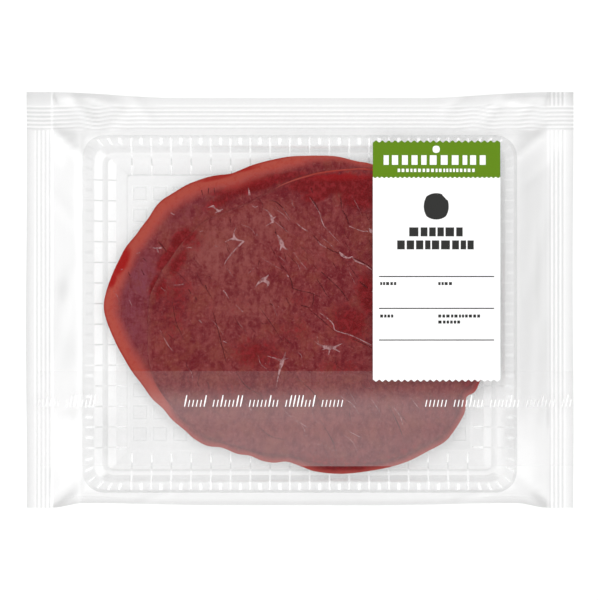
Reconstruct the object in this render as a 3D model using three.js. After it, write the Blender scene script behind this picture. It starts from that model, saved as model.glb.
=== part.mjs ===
// A sealed pack of sliced smoked beef, lying flat with its label up.
// A clear stepped tray holds a stack of oval slices. A clear film bag wraps the tray: it is folded along the
// front, and crimped flat along both ends and the back. A translucent reseal strip runs across the film, and a
// label with a coloured header is stuck on it. The bag is two solids that fill the room between the film and
// the tray: the lower one carries the seals, and the upper one is the lid of film over the tray's flange.
// Millimetres, +Z up. X runs along the pack, +Y points to the back seal, and Z = 0 is the face it rests on.

import * as THREE from "three";

// Clearance between neighbouring pieces, and the width of a wall that stands upright
const gap = 0.3;
const step = 0.05;

// Bag
const packLength = 208.4;
const packWidth = 158.2;
const filmThickness = 0.5;
const sealThickness = 1.2;
const filmCrown = 1.8;
const endSeal = { strip: 3.4, ridges: 4, pitch: 1.6, crimp: 0.35, top: 8 };
const backSeal = { strip: 5, ridges: 6, pitch: 1.55, crimp: 0.3, top: 12.4 };
const frontFold = { width: 2.4, bottom: 4.5, top: 12.6 };
const backSag = 2.4;
const frontWave = { recess: 0.9, from: 30, deepest: 82 };

// Lines that the film's crown and slopes are drawn through: along X on both sides, and along Y. From the second
// line on, the back seal and the front fold come down towards the corners.
const crownLinesX = [22, 45, 56, 66, 75];
const crownLinesY = [-66, -50, -28, -5, 17, 39, 55];
const droopFrom = crownLinesX[1];

// Flat foot of the bag under the tray
const foot = { halfLength: 68, front: -60.5, back: 50 };

// Tray: outline, walls, and its section from the flange's edge inwards as [inset, height]
const trayLength = 165;
const trayWidth = 135.8;
const trayCentreY = -5.3;
const trayCorner = { radius: 8.4, floorRadius: 1.7, sides: 5 };
const trayFlangeTop = 15;
const trayWall = { across: 0.7, down: 0.8 };
const traySection = [
  [0, trayFlangeTop],
  [4.6, trayFlangeTop],
  [7.3, 7.5],
  [10, 7.5],
  [12.3, 3.5],
  [16.7, 1.7],
];

// Slices: outlines as hand-set points of smooth closed curves, and heights
const lowerOutline = [
  [-74.2, -1.2], [-66.8, 19.7], [-53.9, 37.2], [-35.6, 46.7], [-16.6, 51.6], [3.1, 54.4],
  [27.5, 51.6], [53.3, 36.1], [69.6, 11.4], [73.4, -11.4], [67.7, -33.5], [56.3, -52.2],
  [40, -61.4], [17.6, -65.2], [-5.6, -61.6], [-35.2, -55.5], [-55.4, -38.4], [-69.8, -16.4],
];
const upperOutline = [
  [-57.7, -13.3], [-56.1, 3.8], [-49.3, 15.9], [-36, 30], [-18.9, 37.2], [-1.8, 45.9],
  [17.2, 49.7], [33, 47.6], [51.8, 34.2], [67.5, 10.6], [71.3, -11.4], [66, -32.7],
  [54.2, -50.6], [38.9, -58.8], [17.6, -62.4], [-5.6, -59.4], [-33.3, -52.5], [-49.3, -37.3],
];
const sliceSides = 54;
const sliceThickness = 1.3;
const stackTop = 9.7;
const stackEdgeDrop = 0.5;
const innerShares = [0.35, 0.7];
const sliceWave = { height: 0.22, lengthX: 21, lengthY: 17 };

// Rings of the slices: shares of the outline, from the foot of the stack up, and shares of the top slice's height
const stackShares = { foot: 0.93, slope: 0.96, ledge: 0.98, under: 0.995, rim: 1, shoulder: 0.99, face: 0.96 };
const topShares = { under: 0.985, rim: 1, shoulder: 0.985, face: 0.95 };
const topHeights = { rim: 0.4, shoulder: 0.85 };

// Label, its header, and the reseal strip
const label = { left: 27.7, right: 76.1, bottom: -31, top: 60.5, thickness: 0.3, rows: [-5, 14, 32] };
const headerHeight = 14.3;
const pinking = { teeth: 20, depth: 0.8 };
const strip = { bottom: -63.1, top: -27, thickness: 0.3, rows: 4 };
const stripLap = { from: 1, to: 3 };
const stripRise = 1;

// Places that follow from the sizes above
const halfLength = packLength / 2;
const halfWidth = packWidth / 2;
const endSealInner = halfLength - endSeal.strip - endSeal.ridges * endSeal.pitch;
const backSealInner = halfWidth - backSeal.strip - backSeal.ridges * backSeal.pitch;
const frontFoldInner = -halfWidth + frontFold.width;
const trayHalfLength = trayLength / 2;
const trayHalfWidth = trayWidth / 2;
const trayBack = trayCentreY + trayHalfWidth;
const trayFront = trayCentreY - trayHalfWidth;
const wellDepth = traySection.at(-1)[0];
const rimTop = trayFlangeTop + gap + filmThickness;

// Lines where the film leaves the tray's flange, and where the upper film ends at the seals
const leaveX = trayHalfLength + gap + step;
const leaveBack = trayBack + gap + step;
const leaveFront = trayFront - gap - step;
const lidEndX = endSealInner - gap - step;
const lidBack = backSealInner - gap - step;
const lidFront = frontFoldInner + gap + step;

const { clamp, lerp, smoothstep } = THREE.MathUtils;
const ramp = (value, from, to) => clamp((value - from) / (to - from), 0, 1);
const nearCorner = (x) => smoothstep(Math.abs(x), droopFrom, endSealInner);

// One ridge rises and falls in each pitch, counted outwards from the seal's inner line.
function ridge(distance, seal) {
  if (distance <= 0 || distance >= seal.ridges * seal.pitch) return 0;
  const phase = (distance / seal.pitch) % 1;
  return seal.crimp * (1 - Math.abs(2 * phase - 1));
}

// Outside of the upper film without its crimps: a low crown over the tray, and slopes to the seals and the fold.
function filmTop(x, y) {
  const backTop = lerp(backSeal.top, endSeal.top, nearCorner(x));
  const frontTop = lerp(frontFold.top, endSeal.top, nearCorner(x));
  const drop = Math.max(
    (rimTop - endSeal.top) * ramp(Math.abs(x), leaveX, endSealInner),
    (rimTop - backTop) * ramp(y, leaveBack, backSealInner),
    (rimTop - frontTop) * ramp(-y, -leaveFront, -frontFoldInner),
  );
  const along = clamp(1 - (x / trayHalfLength) ** 2, 0, 1);
  const across = clamp(1 - ((y - trayCentreY) / trayHalfWidth) ** 2, 0, 1);
  return rimTop - drop + filmCrown * along * across;
}

const crimps = (x, y) =>
  ridge(Math.abs(x) - endSealInner, endSeal) + ridge(y - backSealInner, backSeal);

const isSealed = (x, y) =>
  Math.abs(x) >= endSealInner || y >= backSealInner || y <= frontFoldInner;

// Outside of the lower film: flat under the tray, then up to the underside of the seals.
function bagBottom(x, y) {
  if (Math.abs(x) >= endSealInner || y >= backSealInner)
    return filmTop(x, y) + crimps(x, y) - sealThickness;
  const endRise = endSeal.top - sealThickness;
  const backRise = lerp(backSeal.top, endSeal.top, nearCorner(x)) - sealThickness;
  const frontRise = lerp(frontFold.bottom, endRise, nearCorner(x));
  return Math.max(
    endRise * ramp(Math.abs(x), foot.halfLength, endSealInner),
    backRise * ramp(y, foot.back, backSealInner),
    frontRise * ramp(-y, -foot.front, -frontFoldInner),
  );
}

// The front edge is recessed beside the corners, and the back edge sags between them.
function bagEdge(x, y) {
  const reach = Math.abs(x);
  if (y >= halfWidth) return [x, y - backSag * (1 - nearCorner(x))];
  if (y > -halfWidth) return [x, y];
  const inwards = smoothstep(reach, frontWave.from, frontWave.deepest);
  const corner = smoothstep(reach, frontWave.deepest, endSealInner);
  return [x, y + frontWave.recess * (1 + inwards - 2 * corner)];
}

// Height of a section, given as [inset, height] points, at some inset.
function sectionHeight(section, inset) {
  const after = section.findIndex(([at]) => at >= inset);
  if (after === 0) return section[0][1];
  if (after < 0) return section.at(-1)[1];
  const [[fromInset, fromHeight], [toInset, toHeight]] = section.slice(after - 1, after + 1);
  return lerp(fromHeight, toHeight, (inset - fromInset) / (toInset - fromInset));
}

const movedSection = (across, down) =>
  traySection.map(([inset, height]) => [inset - across, height - down]);
const pocketSection = movedSection(trayWall.across + gap, trayWall.down + gap);
pocketSection[0][0] = -gap;

function geometryOf(positions, triangles) {
  const geometry = new THREE.BufferGeometry();
  geometry.setAttribute("position", new THREE.Float32BufferAttribute(positions, 3));
  geometry.setIndex(triangles);
  geometry.computeVertexNormals();
  return geometry;
}

// A closed slab between two height functions over a grid of columns and rows. The diagonals of its cells run
// outwards from the middle, so that slopes meet in clean creases at the corners.
function slab({ columns, rows, top, bottom, place = (x, y) => [x, y] }) {
  const positions = [top, bottom].flatMap((height) =>
    rows.flatMap((y) => columns.flatMap((x) => [...place(x, y), height(x, y)])),
  );
  const width = columns.length;
  const layer = width * rows.length;
  const triangles = [];
  const face = (corners, turned) => {
    const [a, b, c, d] = turned ? [...corners.slice(1), corners[0]] : corners;
    triangles.push(a, b, c, a, c, d);
  };
  for (let row = 0; row < rows.length - 1; row++)
    for (let column = 0; column < width - 1; column++) {
      const a = row * width + column;
      const corners = [a, a + 1, a + width + 1, a + width];
      const turned = (columns[column] + columns[column + 1]) * (rows[row] + rows[row + 1]) < 0;
      face(corners, turned);
      face(corners.map((corner) => corner + layer).reverse(), !turned);
    }
  const wall = (a, b) => face([a, a + layer, b + layer, b], false);
  for (let column = 0; column < width - 1; column++) {
    wall(column, column + 1);
    wall(layer - 1 - column, layer - 2 - column);
  }
  for (let row = 0; row < rows.length - 1; row++) {
    wall((row + 1) * width, row * width);
    wall((row + 1) * width - 1, (row + 2) * width - 1);
  }
  return geometryOf(positions, triangles);
}

// A closed body through rings of equally many points, from the middle of its underside to that of its top.
function loft(rings, lowest, highest) {
  const count = rings[0].length;
  const positions = [...rings.flat(), lowest, highest].flat();
  const lowCentre = rings.length * count;
  const last = lowCentre - count;
  const triangles = [];
  for (let k = 0; k < count; k++) {
    const next = (k + 1) % count;
    triangles.push(lowCentre, next, k, lowCentre + 1, last + k, last + next);
    for (let from = 0; from < last; from += count) {
      const [a, b] = [from + k, from + next];
      triangles.push(a, b, b + count, a, b + count, a + count);
    }
  }
  return geometryOf(positions, triangles);
}

const bothSides = (values) => [...values.map((value) => -value).reverse(), 0, ...values];
const evenly = (from, to, count) =>
  Array.from({ length: count + 1 }, (_, i) => lerp(from, to, i / count));
const ridgeLines = (inner, seal) =>
  evenly(inner, inner + seal.ridges * seal.pitch, 2 * seal.ridges);
const ascending = (values) => values.sort((a, b) => a - b);

// The lower part of the bag, with the pocket that holds the tray, the crimped seals and the front fold
function bagLower() {
  const insets = pocketSection.map(([inset]) => inset).reverse();
  const columns = bothSides([
    ...crownLinesX.slice(1, 3), ...insets.map((inset) => trayHalfLength - inset),
    leaveX, lidEndX, endSealInner - step, ...ridgeLines(endSealInner, endSeal), halfLength,
  ]);
  const rows = ascending([
    -halfWidth, frontFoldInner, frontFoldInner + step, lidFront, leaveFront,
    ...insets.map((inset) => trayFront + inset), trayCentreY, ...insets.map((inset) => trayBack - inset),
    leaveBack, lidBack, backSealInner - step, ...ridgeLines(backSealInner, backSeal), halfWidth,
  ]);
  const top = (x, y) => {
    const inset = Math.min(trayHalfLength - Math.abs(x), trayHalfWidth - Math.abs(y - trayCentreY));
    if (inset > -gap - step / 2) return sectionHeight(pocketSection, inset);
    if (isSealed(x, y)) return filmTop(x, y) + crimps(x, y);
    return filmTop(x, y) - filmThickness - gap;
  };
  return slab({ columns, rows, top, bottom: bagBottom, place: bagEdge });
}

// The upper part of the bag: film drawn over the tray's flange and down to the seals
function bagUpper() {
  const columns = bothSides([...crownLinesX, leaveX, lidEndX]);
  const rows = [lidFront, leaveFront, ...crownLinesY, leaveBack, lidBack];
  const bottom = (x, y) => Math.min(filmTop(x, y), rimTop) - filmThickness;
  return slab({ columns, rows, top: filmTop, bottom });
}

// Rounded rectangle at some inset from the tray's edge, anticlockwise
function trayRing([inset, height]) {
  const radius = lerp(trayCorner.radius, trayCorner.floorRadius, inset / wellDepth);
  const centreX = trayHalfLength - inset - radius;
  const centreY = trayHalfWidth - inset - radius;
  const corners = [[1, 1], [-1, 1], [-1, -1], [1, -1]];
  return corners.flatMap(([signX, signY], quarter) =>
    evenly(quarter, quarter + 1, trayCorner.sides).map((turn) => [
      signX * centreX + radius * Math.cos((turn * Math.PI) / 2),
      trayCentreY + signY * centreY + radius * Math.sin((turn * Math.PI) / 2),
      height,
    ]),
  );
}

function tray() {
  const outside = movedSection(trayWall.across, trayWall.down);
  outside[0][0] = 0;
  const floor = traySection.at(-1)[1];
  const rings = [...outside.reverse(), ...traySection].map(trayRing);
  return loft(rings, [0, trayCentreY, floor - trayWall.down], [0, trayCentreY, floor]);
}

// Evenly spaced points of a smooth closed curve, anticlockwise
function smoothOutline(points) {
  const through = points.map(([x, y]) => new THREE.Vector3(x, y, 0)).reverse();
  const curve = new THREE.CatmullRomCurve3(through, true);
  return curve.getSpacedPoints(sliceSides).slice(0, sliceSides);
}

const stackHeight = (x, y) =>
  stackTop + sliceWave.height * Math.sin(x / sliceWave.lengthX) * Math.cos(y / sliceWave.lengthY);

function sliceCentre(outline) {
  const sum = outline.reduce((total, point) => total.add(point), new THREE.Vector3());
  return sum.divideScalar(outline.length);
}

// A ring of an outline drawn in by a share, kept inside the tray's well where an inset is given
function sliceRing(outline, share, height, inset = -Infinity) {
  const centre = sliceCentre(outline);
  const limitX = trayHalfLength - inset;
  const limitY = trayHalfWidth - inset;
  return outline.map((point) => {
    const x = clamp(lerp(centre.x, point.x, share), -limitX, limitX);
    const y = clamp(lerp(centre.y, point.y, share), trayCentreY - limitY, trayCentreY + limitY);
    return [x, y, height(x, y)];
  });
}

// The stack of slices from the tray's floor up: it fills the well, and its top slice lies out over the ledge.
function lowerSlices() {
  const outline = smoothOutline(lowerOutline);
  const centre = sliceCentre(outline);
  const [, , , [ledgeInset, ledge], [slopeInset, slopeTop], [floorInset, floor]] = traySection;
  const level = (z) => () => z;
  const domed = (drop) => (x, y) => stackHeight(x, y) - drop;
  const rings = [
    sliceRing(outline, innerShares[1], level(floor + gap)),
    sliceRing(outline, stackShares.foot, level(floor + gap), floorInset + gap),
    sliceRing(outline, stackShares.slope, level(slopeTop + gap), slopeInset + 2 * gap),
    sliceRing(outline, stackShares.ledge, level(ledge + gap), ledgeInset + 2 * gap),
    sliceRing(outline, stackShares.under, level(ledge + gap)),
    sliceRing(outline, stackShares.rim, level(ledge + 2 * gap + sliceThickness / 4)),
    sliceRing(outline, stackShares.shoulder, domed(stackEdgeDrop)),
    sliceRing(outline, stackShares.face, domed(0)),
    ...innerShares.toReversed().map((share) => sliceRing(outline, share, domed(0))),
  ];
  const top = stackHeight(centre.x, centre.y);
  return loft(rings, [centre.x, centre.y, floor + gap], [centre.x, centre.y, top]);
}

// The slice that lies on the stack, a little to the right, so that the rim of the stack shows on its left
function upperSlice() {
  const outline = smoothOutline(upperOutline);
  const centre = sliceCentre(outline);
  const raised = (height) => (x, y) => stackHeight(x, y) + gap + height;
  const rings = [
    ...innerShares.map((share) => sliceRing(outline, share, raised(0))),
    sliceRing(outline, topShares.under, raised(0)),
    sliceRing(outline, topShares.rim, raised(topHeights.rim * sliceThickness)),
    sliceRing(outline, topShares.shoulder, raised(topHeights.shoulder * sliceThickness)),
    sliceRing(outline, topShares.face, raised(sliceThickness)),
    ...innerShares.toReversed().map((share) => sliceRing(outline, share, raised(sliceThickness))),
  ];
  const under = [centre.x, centre.y, raised(0)(centre.x, centre.y)];
  const over = [centre.x, centre.y, raised(sliceThickness)(centre.x, centre.y)];
  return loft(rings, under, over);
}

// The strip lies on the film from one end of the pack to the other, and clears the crimps of the end seals.
const stripUnderside = (x, y) =>
  filmTop(x, y) + gap + endSeal.crimp * ramp(Math.abs(x), lidEndX - stripRise, lidEndX);

function resealStrip() {
  const columns = bothSides([...crownLinesX, leaveX, lidEndX - stripRise, lidEndX, halfLength]);
  const rows = evenly(strip.bottom, strip.top, strip.rows);
  const top = (x, y) => stripUnderside(x, y) + strip.thickness;
  return slab({ columns, rows, top, bottom: stripUnderside });
}

// How far a pinked edge is cut back, in zigzag teeth
function tooth(x) {
  const phase = ((x - label.left) / (label.right - label.left)) * pinking.teeth;
  return pinking.depth * Math.abs(2 * (phase % 1) - 1);
}

// A piece of the label between two edges, on the film, and over the reseal strip where it laps it
function labelPiece(from, to, rowsBetween, cutFrom, cutTo) {
  const columns = evenly(label.left, label.right, 2 * pinking.teeth);
  const clearOfStrip = (y) => ramp(y, strip.top + stripLap.from, strip.top + stripLap.to);
  const lap = (y) => (gap + strip.thickness) * (1 - clearOfStrip(y));
  const bottom = (x, y) => filmTop(x, y) + gap + lap(y);
  const top = (x, y) => bottom(x, y) + label.thickness;
  const place = (x, y) => {
    if (y === from) return [x, y + cutFrom * tooth(x)];
    if (y === to) return [x, y + cutTo * tooth(x)];
    return [x, y];
  };
  return slab({ columns, rows: [from, ...rowsBetween, to], top, bottom, place });
}

function labelField() {
  const lapRows = [strip.top + stripLap.from, strip.top + stripLap.to];
  return labelPiece(label.bottom, label.top - headerHeight - gap, [...lapRows, ...label.rows], 1, -1);
}

function labelHeader() {
  const from = label.top - headerHeight;
  return labelPiece(from, label.top, [label.top - headerHeight / 2], -1, -1);
}

function piece(name, geometry, color, roughness, opacity = 1) {
  const material = new THREE.MeshStandardMaterial({
    color, roughness, metalness: 0, opacity, transparent: opacity < 1,
  });
  const mesh = new THREE.Mesh(geometry, material);
  mesh.name = name;
  return mesh;
}

const pack = new THREE.Group();
pack.add(
  piece("bag_lower", bagLower(), 0xf1f1f3, 0.15, 0.3),
  piece("tray", tray(), 0xeceded, 0.15, 0.4),
  piece("lower_slices", lowerSlices(), 0x8e3f3b, 0.45),
  piece("upper_slice", upperSlice(), 0x874646, 0.45),
  piece("bag_upper", bagUpper(), 0xf1f1f3, 0.12, 0.25),
  piece("reseal_strip", resealStrip(), 0xf4f2f3, 0.3, 0.35),
  piece("label", labelField(), 0xffffff, 0.6),
  piece("label_header", labelHeader(), 0x6a8f2a, 0.55),
);

export default pack;
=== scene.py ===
"""Look of a sealed pack of sliced smoked beef, lying flat with its label up.

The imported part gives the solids. This script dresses them: a thin clear film with crimped ends and back, a
clear moulded tray with ribs and raised squares, marbled slices, a translucent reseal strip, and a pinked
paper label with a coloured header. Sizes are in millimetres except in the settings and the lights, and the
meshes are in metres.
"""
import math

import bpy
import numpy as np
from bpy.props import FloatProperty, FloatVectorProperty, PointerProperty
from bpy.types import Operator, Panel, PropertyGroup
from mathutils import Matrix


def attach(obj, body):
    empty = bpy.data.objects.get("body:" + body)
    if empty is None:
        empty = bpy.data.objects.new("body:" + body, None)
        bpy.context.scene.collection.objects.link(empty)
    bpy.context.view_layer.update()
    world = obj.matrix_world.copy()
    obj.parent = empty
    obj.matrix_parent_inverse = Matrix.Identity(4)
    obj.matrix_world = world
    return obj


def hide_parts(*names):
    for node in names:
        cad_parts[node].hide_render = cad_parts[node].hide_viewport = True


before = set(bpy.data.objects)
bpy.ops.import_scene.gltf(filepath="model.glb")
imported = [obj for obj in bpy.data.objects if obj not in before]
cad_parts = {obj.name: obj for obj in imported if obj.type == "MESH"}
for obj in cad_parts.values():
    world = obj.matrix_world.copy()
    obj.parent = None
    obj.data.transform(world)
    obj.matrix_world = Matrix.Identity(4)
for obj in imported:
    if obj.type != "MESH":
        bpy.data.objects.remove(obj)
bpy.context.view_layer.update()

bl_info = {
    "name": "Meat tray pack",
    "version": (1, 0, 0),
    "blender": (4, 5, 0),
    "location": "View3D > Sidebar > Meat pack",
    "description": "Dresses a clear film pack round a tray of sliced smoked beef",
    "category": "Object",
}

MM = 0.001
BODY = "root"

# Places that are read off the photograph are given in its units, counted from its top left corner.
PHOTO_SIZE = 600
UNIT = 0.38
MIDDLE = (299.75, 299.9)

# Floor, camera and soft lights: name, place, size in metres, power, and whether it shows in gloss
FLOOR = -0.2
FLOOR_WHITE = 0.88
WORLD_STRENGTH = 0.23
LENS = 400
SENSOR = 36
CAMERA_OVER = 0.012
CLEAR_LAYERS = 24
LIGHTS = (
    ("overhead_softbox", (-0.05, 0.05, 1.7), (1.5, 1.5), 24.5, False),
    ("left_softbox", (-1.25, 0.1, 0.75), (1.1, 1.9), 8.5, True),
    ("right_softbox", (1.25, 0, 0.75), (1.0, 1.9), 5, True),
    ("back_softbox", (0, 1.6, 1.5), (1.8, 0.6), 3.5, True),
    ("front_softbox", (0, -1.7, 1.3), (1.8, 0.6), 3.5, True),
)

# Bag
HALF_LENGTH = 104.2
HALF_WIDTH = 79.1
RIM_TOP = 15.55
CROWN = 1.8
SEAL_TOP = 7.9
END_SEAL = {"strip": 3.4, "ridges": 4, "pitch": 1.6}
BACK_SEAL = {"strip": 5.0, "ridges": 6, "pitch": 1.55, "top": 12.2}
FOLD = {"width": 2.4, "bottom": 4.6, "top": 12.4}
DROOP_FROM = 45
BACK_SAG = 2.4
FRONT_WAVE = {"recess": 0.9, "from": 30, "deepest": 82}
FOOT = {"half_length": 68, "front": -60.5, "back": 50}
SIDE_WAVE = {"depth": 0.35, "length": 19}
WAVER_FROM = (48, 84)

# Waves of the film: height, seed, number and lengths
WAVES_OVER_TRAY = (0.10, 3, 6, (24, 60))
WAVES_BESIDE_TRAY = (0.28, 5, 7, (9, 26))
WAVES_OF_BACK = (0.62, 9, 6, (13, 40))
WAVES_OF_ENDS = (0.4, 12, 5, (30, 80))
WAVES_UNDER = (0.25, 31, 6, (10, 30))
USUAL_WRINKLE = 0.3

# Tones of the film over its own grey tint: painted shade above 0 and painted highlight or reflection below 0
FILM_GREY = 0.227
FILM_TONE = 0.79
END_LINES = {"left": 0.36, "right": 0.4, "mean": 0.06, "first": 0.15, "edge": 0.35}
END_STRIP = {"left": 0.0, "right": -0.15, "rim": 0.6, "corner": 0.25}
LEFT_END_LINE = 0.5
BACK_LINES = {"height": 0.4, "mean": 0.16, "phase": 0.22}
BACK_RIM = (0.1, 0.5)
BACK_SLOPE = 0.22
MARGIN_PLACES = (-94.4, -92, -86, -83.5, -82.7, 82.5, 84.5, 86.5, 91.5, 93, 94.4)
MARGIN_TONES = (0, 0.05, 0.05, -0.25, 0, 0, 0.3, 0.42, 0.38, 0.26, 0.32)
RIGHT_MARGIN = ((-76, -50, -30, 45, 60), (0.3, 0.5, 1, 1, 0.5))
FRONT_EDGE = ((0, 0.8, 1.5, 2.4, 4.6, 7), (0.8, 0.5, 0.34, 0.15, 0.08, 0))
# Over the tray's walls the film is clearer, so that the walls' painted highlights show white
WALLS_START = (-0.2, 0.3)
WALLS_END = (12.4, 16.1)

# Tray
TRAY_HALF_LENGTH = 82.5
TRAY_HALF_WIDTH = 67.9
TRAY_Y = -5.3
ACROSS_SHARE = 0.9
LONG_RIBS = {"count": 18, "pitch": 7.524}
SHORT_RIBS = {"count": 14, "pitch": 7.83}
THIN_RIB = (0.45, 0.26)
THICK_RIB = (0.72, 0.55)
FLANGE_RIB = 0.35
CORNER_RIBS = (THICK_RIB, THICK_RIB, THIN_RIB, THIN_RIB, THICK_RIB, THICK_RIB)
CORNER_BETWEEN = 3
CORNER_WAY = 31.0

# The tray's section from its lip inwards: inset, height, corner radius, ribs of the flange, ribs of the walls
TRAY_SECTION = (
    (0.0, 13.8, 8.4, 0, 0), (0.0, 14.6, 8.4, 0, 0), (0.12, 14.88, 8.3, 0, 0), (0.4, 15.0, 8.1, 0, 0),
    (1.05, 15.0, 7.6, 0, 0), (1.35, 15.0, 7.4, 1, 1), (3.85, 15.0, 6.4, 1, 1), (4.15, 15.0, 6.2, 0, 1),
    (4.7, 14.8, 6.0, 0, 1), (5.05, 14.2, 5.8, 0, 1), (5.4, 13.0, 5.6, 0, 1), (6.8, 8.7, 5.2, 0, 1),
    (7.1, 7.85, 5.0, 0, 1), (7.5, 7.5, 4.7, 0, 1), (8.6, 7.5, 3.6, 0, 1), (9.5, 7.45, 2.4, 0, 1),
    (9.95, 7.1, 1.9, 0, 1), (10.3, 6.5, 1.7, 0, 1), (11.8, 4.3, 1.1, 0, 1), (12.15, 3.75, 1.0, 0, 1),
    (12.7, 3.45, 1.1, 0, 1), (16.1, 1.95, 1.6, 0, 1), (16.7, 1.7, 1.3, 0, 0), (17.1, 1.7, 1.2, 0, 0),
)
BASE_HALF = (64.8, 51.9)

# Painted shade (above 0) and painted highlight (below 0) by inset: right, back, left and front side, then the
# ribs of the right side, of the left side's front part and back part, and of the long sides
TRAY_SHADES = (
    (0.0, (0.5, 0.41, 0.36, 0.61), (0.5, 0.56, 0.56, 0.56)),
    (1.2, (0.45, 0.41, 0.38, 0.75), (0.5, 0.56, 0.56, 0.56)),
    (1.35, (0.22, 0.41, 0.46, 0.45), (-0.4, -0.6, 0.62, -1.0)),
    (4.15, (0.22, 0.41, 0.5, 0.36), (-0.4, -0.6, 0.62, -1.0)),
    (4.7, (0.26, 0.46, 0.3, 0.51), (0.3, 0.3, 0.7, -0.3)),
    (5.05, (0.15, 0.56, -0.09, 0.72), (0.6, 0.75, 0.85, -0.1)),
    (7.1, (0.15, 0.56, -0.09, 0.72), (0.6, 0.75, 0.85, -0.1)),
    (7.5, (0.36, 0.26, 0.41, 0.26), (0.3, 0.3, 0.6, -0.2)),
    (8.6, (0.56, 0.34, 0.59, 0.36), (0.3, 0.3, 0.6, 0.0)),
    (9.5, (0.66, 0.34, 0.59, 0.9), (0.5, 0.5, 0.6, 0.5)),
    (9.95, (0.15, 0.3, -0.09, 0.45), (0.6, 0.5, 0.75, 0.9)),
    (12.15, (0.15, 0.34, -0.09, 0.45), (0.6, 0.5, 0.75, 0.9)),
    (12.7, (0.58, 0.35, 0.35, 0.5), (-1.1, -0.9, 0.3, -1.3)),
    (16.1, (0.3, 0.3, 0.12, 0.28), (-1.1, -0.9, 0.1, -1.3)),
    (16.7, (0.2, 0.65, 0.35, 0.2), (0.1, 0.1, 0.3, 0.2)),
    (17.1, (0.12, 0.1, 0.06, 0.15), (0.1, 0.1, 0.1, 0.1)),
)
# More painted shade on the right wall towards the back, where the ribs' painted tones fade into the wall's
RIGHT_WALL_BACK = 0.2
RIGHT_RIBS_LOST = 0.8
WALL_TOP = (4.3, 5.0)
WALL_FOOT = (7.2, 8.4)
TOWARDS_BACK = (-42, -12)
MITRE = (0.44, 0.56)
SQUARES = {"pitch": (7.62, 8.35), "size": 6.0, "count": (17, 12)}
SQUARE_LINE = 0.28
# Painted highlight on the outer line of each square's edge and painted shade on its inner line
SQUARE_SHADES = (0, -0.6, 0.65, 0.03)
# The base is greyer towards the front and the right
BASE_SHADE = 0.06
BASE_FALL = 0.14

# Outlines of the slices, in the photograph's units
LOWER_OUTLINE = (
    (103.5, 305), (106.7, 289), (113, 272), (119.5, 258.5), (124, 249.5), (129.5, 242), (135.5, 235),
    (141.5, 226.5), (147.8, 218.5), (152.5, 211), (157.5, 204), (164, 198.3), (171, 194), (187, 184.5),
    (205, 177.7), (217, 175), (232, 173), (255, 164), (285, 157), (307, 155.5), (335, 156), (357, 161),
    (372, 164), (406, 178), (440, 205), (466, 236), (483, 270), (493, 318), (489, 358), (480, 382),
    (475, 392), (467, 397), (466, 406), (464, 415), (455, 430), (445, 442), (427, 452), (407, 462),
    (382, 469), (345, 474), (317, 472), (302, 467), (287, 462), (274, 463), (262, 461), (250, 456),
    (237, 454), (222, 448), (207, 446), (194, 439), (184, 430), (172, 420), (163, 409), (152, 399),
    (142, 385), (132, 372), (123, 357), (115, 342), (106, 320),
)
UPPER_OUTLINE = (
    (148, 335), (149, 300), (155, 284), (162, 270), (170, 259), (177, 249), (184, 240), (192, 232),
    (199, 225), (207, 220), (218, 215), (230, 210), (240, 206), (250, 202), (260, 196), (270, 191),
    (282, 184.5), (295, 179), (308, 175), (320, 172), (345, 169), (372, 169), (405, 181), (436, 208),
    (461, 238), (477, 271), (487, 320), (483, 357), (475, 381), (468, 388), (461, 394), (460, 404),
    (457, 414), (449, 428), (439, 438), (423, 447), (404, 456), (380, 463), (345, 467), (318, 465),
    (303, 461), (288, 456), (263, 455), (238, 447), (209, 439), (197, 431), (188, 424), (177, 413),
    (168, 402), (158, 388), (151, 371), (148, 354),
)

# Heights, gaps and edges of the slices, and the lift of their marbling, in millimetres
STACK_TOP = 9.7
LOWER_DIP = 0.12
UPPER_GAP = 0.22
SLICE = 1.3
SLICES_BELOW = 7
LOWER_ROUND = {"start": 0.93, "drop": 0.9, "power": 2.2}
UPPER_ROUND = {"start": 0.975, "drop": 0.75, "power": 2}
UPPER_UNDERCUT = {"start": 0.97, "drop": 0.25, "power": 2}
STACK_SIDE = {"below_top": 1.2, "inset": 0.9, "tuck": 0.5, "shift": 0.25}
STACK_FOOT = 0.75
ROOM_IN_TRAY = 0.6
OUTLINE_POINTS = 440
VEIN_LIFT = 0.05
VEIN_CROWN = 0.02
FLECK_WIDTH = 0.72

# Seeded strokes along the meat's grain: seed, number, lengths in the photograph's units, half widths
PALE_STROKES = (71, 26, (9, 26), (0.05, 0.1))
DARK_STROKES = (73, 60, (7, 22), (0.06, 0.13))
STROKE_FIELD = {"middle": (318, 318), "half": (150, 132), "x": (165, 470), "y": (185, 455)}
GRAIN = {"turn": 52, "spread": 16, "bend": 0.25}
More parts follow.
